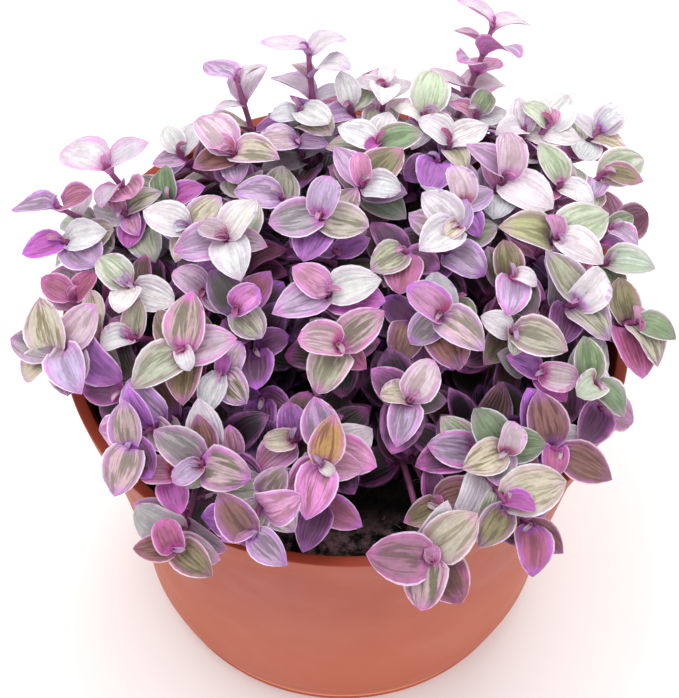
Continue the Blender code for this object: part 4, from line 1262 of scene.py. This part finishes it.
def turnedShape(name, line, sides):
    vertices, faces, rings = [], [], []
    for radius, height in line:
        if radius == 0:
            rings.append([len(vertices)] * sides)
            vertices.append((0, 0, height))
            continue
        rings.append(list(range(len(vertices), len(vertices) + sides)))
        for corner in range(sides):
            angle = 2 * math.pi * corner / sides
            vertices.append((radius * math.cos(angle), radius * math.sin(angle), height))
    for low, high in zip(rings, rings[1:]):
        for corner in range(sides):
            following = (corner + 1) % sides
            face = [low[corner], low[following], high[following], high[corner]]
            faces.append(list(dict.fromkeys(face)))
    made = newObject(name, vertices, faces)
    work = bmesh.new()
    work.from_mesh(made.data)
    bmesh.ops.recalc_face_normals(work, faces=work.faces)
    work.to_mesh(made.data)
    work.free()
    return made


def makePot():
    height, foot, base = pot["height"], pot["footHeight"], pot["baseThickness"]
    top = height - pot["collarHeight"]
    rim, lip, edge = pot["rimRadius"], pot["rimRadius"] - pot["rimWidth"], pot["edgeRound"]
    corners = [(0, 0, 0), (pot["footRing"] - pot["footInset"], 0, 0),
               (pot["footRing"], 0, pot["footRound"]), (pot["footRing"], foot, edge)]
    lowRadius, lowHeight = pot["bodyLowRadius"] - pot["seamStep"], pot["bodyLowHeight"] - pot["seamStep"]
    for degrees in range(0, 91, pot["tuckStep"]):
        angle = math.radians(degrees)
        radius = blend(pot["tuckRadius"], lowRadius, math.sin(angle))
        corners.append((radius, blend(lowHeight, foot, math.cos(angle)), 0))
    inward, down = pot["seamBevel"]
    corners.append((pot["bodyLowRadius"] - inward, pot["bodyLowHeight"] - down, 0))
    for step in range(pot["bodySteps"] + 1):
        z = blend(pot["bodyLowHeight"], top - pot["collarChamfer"], step / pot["bodySteps"])
        corners.append((bodyRadius(z), z, 0))
    corners += [
        (pot["collarRadius"], top, pot["collarRound"]), (rim, height - pot["edgeDrop"], edge),
        (rim - pot["flatInset"], height, 0), (lip + pot["flatInset"], height, 0),
        (lip, height - pot["edgeDrop"], edge), (innerRadius(top), top, pot["innerRound"]),
    ]
    corners += [(innerRadius(share * top), share * top, 0) for share in pot["innerShares"]]
    corners += [(innerRadius(pot["innerLowHeight"]), pot["innerLowHeight"], 0),
                (pot["footRadius"] - pot["wall"], base, pot["floorRound"]), (0, base, 0)]
    body = turnedShape("plastic_pot", rounded(corners), pot["sides"])
    drills = bpy.data.collections.new("drills")
    for index in range(pot["drainCount"]):
        angle = 2 * math.pi * (index + 0.5) / pot["drainCount"]
        line = [(0, -base), (pot["drainRadius"], -base), (pot["drainRadius"], 2 * base), (0, 2 * base)]
        drill = turnedShape(f"drill_{index}", line, pot["drainSides"])
        spot = (pot["drainCircle"] * math.cos(angle), pot["drainCircle"] * math.sin(angle), 0)
        drill.data.transform(Matrix.Translation(spot))
        bpy.context.scene.collection.objects.unlink(drill)
        drills.objects.link(drill)
    cut = body.modifiers.new("drain", "BOOLEAN")
    cut.operand_type = "COLLECTION"
    cut.collection = drills
    cut.solver = "EXACT"
    body = bakedCopy(body, "plastic_pot")
    body.data.set_sharp_from_angle(angle=math.radians(pot["sharpAngle"]))
    # the second mask marks the inside wall, which the finish paints darker as painted shade
    ring, inner = [], []
    for vertex in body.data.vertices:
        reach, z = math.hypot(vertex.co.x, vertex.co.y), vertex.co.z
        onRing = z > height - edge and reach < rim - pot["ringInset"]
        inside = z > pot["innerLowHeight"] and reach < bodyRadius(z) - pot["wall"] / 2
        ring.append(float(onRing))
        inner.append(float(inside and not onRing))
    for name, values in (("ring", ring), ("inner", inner)):
        body.data.attributes.new(name, "FLOAT", "POINT").data.foreach_set("value", values)
    return body


def potMaterial():
    material, nodes, skin = newMaterial("terracotta_plastic_finish")
    place = nodes.add("ShaderNodeTexCoord").outputs["Object"]
    height = nodes.axes(place)["Z"]
    cloud = nodes.noise(place, potFinish["cloudScale"])
    fleck = nodes.noise(place, potFinish["fleckScale"], 3.0, potFinish["fleckRoughness"])
    stretched = nodes.add("ShaderNodeMapping", Vector=place, Scale=potFinish["drawnScale"])
    drawn = nodes.noise(stretched.outputs[0], 1.0)
    above, below = (pot["footHeight"] + step for step in potFinish["footBlend"])
    foot = nodes.ramp(height, above, below)
    # a painted highlight: a pale band along the top of the foot ring
    edge = nodes.ramp(height, *(pot["footHeight"] * share for share in potFinish["paintedHighlightShares"]))
    colour = rgba(potFinish["body"])
    for share, coat in (
        (nodes.ramp(cloud, *potFinish["cloud"]), "warm"), (nodes.ramp(drawn, *potFinish["drawn"]), "dull"),
        (nodes.ramp(fleck, *potFinish["fleck"]), "dull"),
        # painted light and shade: lighter towards the bottom, darker at the top under the leaves
        (nodes.ramp(height, potFinish["lowerPaintedLightFrom"], potFinish["lowerPaintedLightTo"]), "lowerPaintedLight"),
        # the middle coat here is that painted highlight
        (foot, "foot"), (nodes.times(foot, edge), "edge"), (nodes.attribute("ring"), "rim"),
        # painted shade on the inside wall
        (nodes.attribute("inner"), "inside"),
    ):
        colour = nodes.mix(share, colour, rgba(potFinish[coat]))
    grain = nodes.plus(*(nodes.times(value, potFinish["heightShare"]) for value in (fleck, drawn)))
    bump = nodes.add("ShaderNodeBump", Height=grain, Strength=potFinish["bump"],
                     Distance=potFinish["relief"])
    gloss = nodes.ramp(nodes.noise(place, potFinish["glossScale"]), *potFinish["gloss"])
    nodes.fill(skin, Base_Color=colour, Roughness=gloss, Normal=bump.outputs[0],
               Specular_IOR_Level=potFinish["specular"], Subsurface_Weight=potFinish["softness"],
               Subsurface_Scale=potFinish["softDepth"])
    return material


potPiece = makePot()
potPiece.data.materials.clear()
potPiece.data.materials.append(potMaterial())
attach(potPiece, "root")
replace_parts(potPiece, "pot")
print("turned the pot")


# The soil: a rough top on a turned body, with crumbs, bits of bark and fibres lying on it

# The soil's base colour is its own near-black, made darker still as painted shade for the gaps under the
# leaves.
soilFinish = dict(
    dark=(9, 7, 7), brown=(34, 27, 24), moss=(78, 76, 60), bark=(110, 84, 60), fibre=(150, 138, 116),
    frontPale=(160, 130, 132), frontPaleFrom=-50 * mm, frontPaleTo=-63 * mm, frontPaleLumps=(0.40, 0.62), lump=(220, 4.0, 0.65),
    lumps=(0.42, 0.70), patch=(60, 2.0), patches=(0.5, 0.7), fine=(1500, 3.0, 0.7), mossGaps=(0.4, 0.6),
    barkKinds=(0.80, 0.86), fibreKinds=(0.955, 0.96), shade=(0.3, 0.7, 0.6, 1.15), bump=0.8,
    relief=0.5 * mm, fineHeight=0.4, roughness=(0.3, 0.7, 0.80, 0.97), specular=0.25,
)


def makeSoil():
    edge = innerRadius(soil["edgeHeight"]) - gap
    base = pot["baseThickness"] + gap
    line = [(0, base), (pot["footRadius"] - pot["wall"] - soil["cornerInset"], base)]
    for z in (pot["innerLowHeight"], *soil["sideHeights"], soil["edgeHeight"] - soil["edgeFall"]):
        line.append((innerRadius(z) - gap, z))
    line.append((edge, soilHeight(edge, 0) - soil["edgeDip"]))
    for ring in range(1, soil["rings"]):
        radius = edge * (1 - ring / soil["rings"])
        line.append((radius, soilHeight(radius, 0)))
    line.append((0, soilHeight(0, 0)))
    body = turnedShape("potting_soil", line, soil["sides"])
    for vertex in body.data.vertices:
        reach = math.hypot(vertex.co.x, vertex.co.y)
        if vertex.co.z < soil["edgeHeight"] - soil["topBand"] or reach > edge - soil["roughInset"]:
            continue
        rough = noise.fractal(vertex.co * soil["roughScale"], *soil["fractal"]) * soil["roughShare"]
        rough = (rough + noise.noise(vertex.co * soil["lumpScale"])) * soil["relief"]
        vertex.co.z += rough * min((edge - reach) / soil["roughFade"], 1) - soil["sinking"]
    return body


def soilMaterial():
    material, nodes, skin = newMaterial("potting_soil_finish")
    place = nodes.add("ShaderNodeTexCoord").outputs["Object"]
    lump, patch, fine = (nodes.noise(place, *soilFinish[key]) for key in ("lump", "patch", "fine"))
    kind = nodes.attribute("kind")
    front = nodes.ramp(nodes.axes(place)["Y"], soilFinish["frontPaleFrom"], soilFinish["frontPaleTo"])
    mossy = nodes.times(nodes.ramp(patch, *soilFinish["patches"]),
                        nodes.ramp(fine, *soilFinish["mossGaps"]))
    # the base colour: the soil's near-black, partly painted shade
    colour = rgba(soilFinish["dark"])
    for share, coat in (
        (nodes.ramp(lump, *soilFinish["lumps"]), "brown"), (mossy, "moss"),
        # paler towards the front of the pot, in lumps
        (nodes.times(front, nodes.ramp(lump, *soilFinish["frontPaleLumps"])), "frontPale"),
        (nodes.ramp(kind, *soilFinish["barkKinds"]), "bark"),
        (nodes.ramp(kind, *soilFinish["fibreKinds"]), "fibre"),
    ):
        colour = nodes.mix(share, colour, rgba(soilFinish[coat]))
    shade = nodes.ramp(fine, *soilFinish["shade"])
    shaded = nodes.add("ShaderNodeHueSaturation", Value=shade, Color=colour)
    height = nodes.plus(lump, nodes.times(fine, soilFinish["fineHeight"]))
    bump = nodes.add("ShaderNodeBump", Height=height, Strength=soilFinish["bump"],
                     Distance=soilFinish["relief"])
    nodes.fill(skin, Base_Color=shaded.outputs[0], Normal=bump.outputs[0],
               Roughness=nodes.ramp(fine, *soilFinish["roughness"]),
               Specular_IOR_Level=soilFinish["specular"])
    return material


crumbs = dict(seed=3, lumps=4, uneven=(0.7, 1.15), flatness=0.7, fibres=3, fibreSteps=6, fibreRadius=0.016,
              sideBend=0.22, sideWave=0.7, sideWaveStep=0.3, liftBend=0.10, liftWave=1.3, level=0.3,
              turn=6.28)
# Name, count, first and last shape, smallest and largest, kind, most tilt, seed, space left at the wall
litterSets = (
    ("soil_crumbs", 2600, 0, 3, 0.7 * mm, 2.6 * mm, 0.2, 3.1, 4, 2 * mm),
    ("soil_bark", 156, 0, 3, 0.8 * mm, 2.4 * mm, 0.9, 3.1, 5, 2 * mm),
    ("soil_fibres", 170, 4, 6, 5 * mm, 13 * mm, 1.0, 0.35, 6, 8 * mm),
)


def crumbShapes():
    shapes = bpy.data.collections.new("crumbs")
    chooser = random.Random(crumbs["seed"])
    for index in range(crumbs["lumps"]):
        work = bmesh.new()
        bmesh.ops.create_icosphere(work, subdivisions=1, radius=0.5)
        for vertex in work.verts:
            vertex.co *= chooser.uniform(*crumbs["uneven"])
            vertex.co.z *= crumbs["flatness"]
        mesh = bpy.data.meshes.new(f"crumb_{index}")
        work.to_mesh(mesh)
        work.free()
        shapes.objects.link(bpy.data.objects.new(f"crumb_{index}", mesh))
    for index in range(crumbs["fibres"]):  # one unit long and bent
        points = []
        for step in range(crumbs["fibreSteps"] + 1):
            wave = crumbs["sideWave"] + crumbs["sideWaveStep"] * index
            side = crumbs["sideBend"] * math.sin(step * wave)
            lift = crumbs["liftBend"] * math.sin(step * crumbs["liftWave"] + index)
            points.append(Vector((step / crumbs["fibreSteps"] - 0.5, side, lift)))
        vertices, faces = tube(points, crumbs["fibreRadius"], (points[-1] - points[-2]).normalized())
        bud = len(vertices) - 1  # a fibre has a flat end in its place
        faces = [face for face in faces if bud not in face] + [tuple(range(bud - stems["sides"], bud))]
        shape = newObject(f"fibre_{index}", vertices[:bud], faces)
        bpy.context.scene.collection.objects.unlink(shape)
        shapes.objects.link(shape)
    return shapes


def litterTree():
    tree = newTree(
        "soilLitter", "GeometryNodeTree",
        (("Geometry", "NodeSocketGeometry", None), ("Shapes", "NodeSocketCollection", None),
         ("Density", "NodeSocketFloat", 1.0), ("First Shape", "NodeSocketInt", 0),
         ("Last Shape", "NodeSocketInt", 3), ("Smallest", "NodeSocketFloat", 0.001),
         ("Largest", "NodeSocketFloat", 0.003), ("Kind", "NodeSocketFloat", 0.0),
         ("Tilt", "NodeSocketFloat", 3.1), ("Seed", "NodeSocketInt", 1), ("Reach", "NodeSocketFloat", 0.07),
         ("Finish", "NodeSocketMaterial", None)),
        (("Geometry", "NodeSocketGeometry"),),
    )
    nodes = Nodes(tree)
    given = nodes.add("NodeGroupInput").outputs
    level = nodes.axes(nodes.add("GeometryNodeInputNormal").outputs[0])["Z"]
    place = nodes.axes(nodes.add("GeometryNodeInputPosition").outputs[0])
    squares = [nodes.times(place[axis], place[axis]) for axis in ("X", "Y")]
    inside = nodes.math("LESS_THAN", nodes.math("SQRT", nodes.plus(*squares)), given["Reach"])
    high = nodes.math("GREATER_THAN", place["Z"], soil["edgeHeight"] - soil["topBand"])
    top = nodes.times(nodes.times(nodes.math("GREATER_THAN", level, crumbs["level"]), high), inside)
    spread = nodes.add("GeometryNodeDistributePointsOnFaces", Mesh=given["Geometry"], Selection=top,
                       Density=given["Density"], Seed=given["Seed"])

    def chance(kind, low, high, shift):
        node = nodes.add("FunctionNodeRandomValue", dict(data_type=kind))
        first = {"FLOAT": 2, "INT": 4, "FLOAT_VECTOR": 0}[kind]
        nodes.feed(node, first, low)
        nodes.feed(node, first + 1, high)
        nodes.feed(node, "Seed", nodes.plus(given["Seed"], shift))
        return node.outputs[{"FLOAT": 1, "INT": 2, "FLOAT_VECTOR": 0}[kind]]

    tilt = nodes.add("ShaderNodeCombineXYZ", X=given["Tilt"], Y=given["Tilt"], Z=crumbs["turn"])
    grown = nodes.shapesOn(
        spread.outputs["Points"], given["Shapes"],
        chance("INT", given["First Shape"], given["Last Shape"], 1),
        chance("FLOAT_VECTOR", (0.0, 0.0, 0.0), tilt.outputs[0], 2),
        chance("FLOAT", given["Smallest"], given["Largest"], 3),
    )
    kind = nodes.add("GeometryNodeStoreNamedAttribute", dict(data_type="FLOAT", domain="POINT"),
                     Geometry=grown, Name="kind", Value=given["Kind"])
    nodes.finish(kind.outputs["Geometry"], given["Finish"])
    return tree


def scatter(name, count, first, last, smallest, largest, kind, tilt, seed, space):
    radius = innerRadius(soil["edgeHeight"])
    values = {
        "Shapes": shapes, "Finish": soilSkin, "Density": count / (math.pi * radius ** 2),
        "First Shape": first, "Last Shape": last, "Smallest": smallest, "Largest": largest, "Kind": kind,
        "Tilt": tilt, "Seed": seed, "Reach": radius - space,
    }
    piece = grownPiece(name, soilPiece.data.copy(), litter, values)
    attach(piece, "root")


soilPiece = makeSoil()
soilSkin = soilMaterial()
soilPiece.data.materials.append(soilSkin)
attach(soilPiece, "root")
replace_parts(soilPiece, "soil")
litter = litterTree()
shapes = crumbShapes()
for row in litterSets:
    scatter(*row)
print("filled the pot")


# Floor, light and camera

studio = dict(floor=(253, 253, 253), floorHalf=3, patchScale=3.0, patchShade=0.97, roughness=0.9,
              specular=0.1, world=1.1)
lights = dict(  # place, size and power
    key=((-0.35, 0.15, 1.15), 0.8, 3.3),
    back=((0.3, 0.7, 0.95), 0.7, 3.3),
    fill=((0.6, -0.95, 0.28), 0.8, 1.1),
)


def areaLight(name, place, size, power):
    data = bpy.data.lights.new(name, "AREA")
    data.shape = "DISK"
    data.size = size
    data.energy = power
    lamp = bpy.data.objects.new(name, data)
    aimed = (Vector((0, 0, pot["height"])) - Vector(place)).to_track_quat("-Z", "Y")
    lamp.matrix_world = Matrix.Translation(place) @ aimed.to_matrix().to_4x4()
    bpy.context.scene.collection.objects.link(lamp)


def makeStudio():
    half = studio["floorHalf"]
    floor = newObject("floor", [(-half, -half, 0), (half, -half, 0), (half, half, 0), (-half, half, 0)],
                      [(0, 1, 2, 3)], False)
    material, nodes, skin = newMaterial("floor_finish")
    place = nodes.add("ShaderNodeTexCoord").outputs["Object"]
    colour = nodes.mix(nodes.noise(place, studio["patchScale"]), rgba(studio["floor"]),
                       rgba(studio["floor"], studio["patchShade"]))
    nodes.fill(skin, Base_Color=colour, Roughness=studio["roughness"],
               Specular_IOR_Level=studio["specular"])
    floor.data.materials.append(material)
    world = bpy.data.worlds.new("studio")
    world.use_nodes = True
    world.node_tree.nodes["Background"].inputs["Color"].default_value = (1, 1, 1, 1)
    world.node_tree.nodes["Background"].inputs["Strength"].default_value = studio["world"]
    bpy.context.scene.world = world
    for name, light in lights.items():
        areaLight(name, *light)
    bpy.context.scene.view_settings.view_transform = "Standard"


def makeCamera():
    data = bpy.data.cameras.new("camera")
    data.sensor_fit = "AUTO"
    data.sensor_width = view["sensor"]
    data.lens = view["focal"] / view["height"] * data.sensor_width
    data.clip_start = view["clipStart"]
    camera = bpy.data.objects.new("camera", data)
    bpy.context.scene.collection.objects.link(camera)
    turn = Matrix((look.right, look.above, -look.forward)).transposed().to_4x4()
    camera.matrix_world = Matrix.Translation(look.eye) @ turn
    bpy.context.scene.camera = camera


makeStudio()
makeCamera()
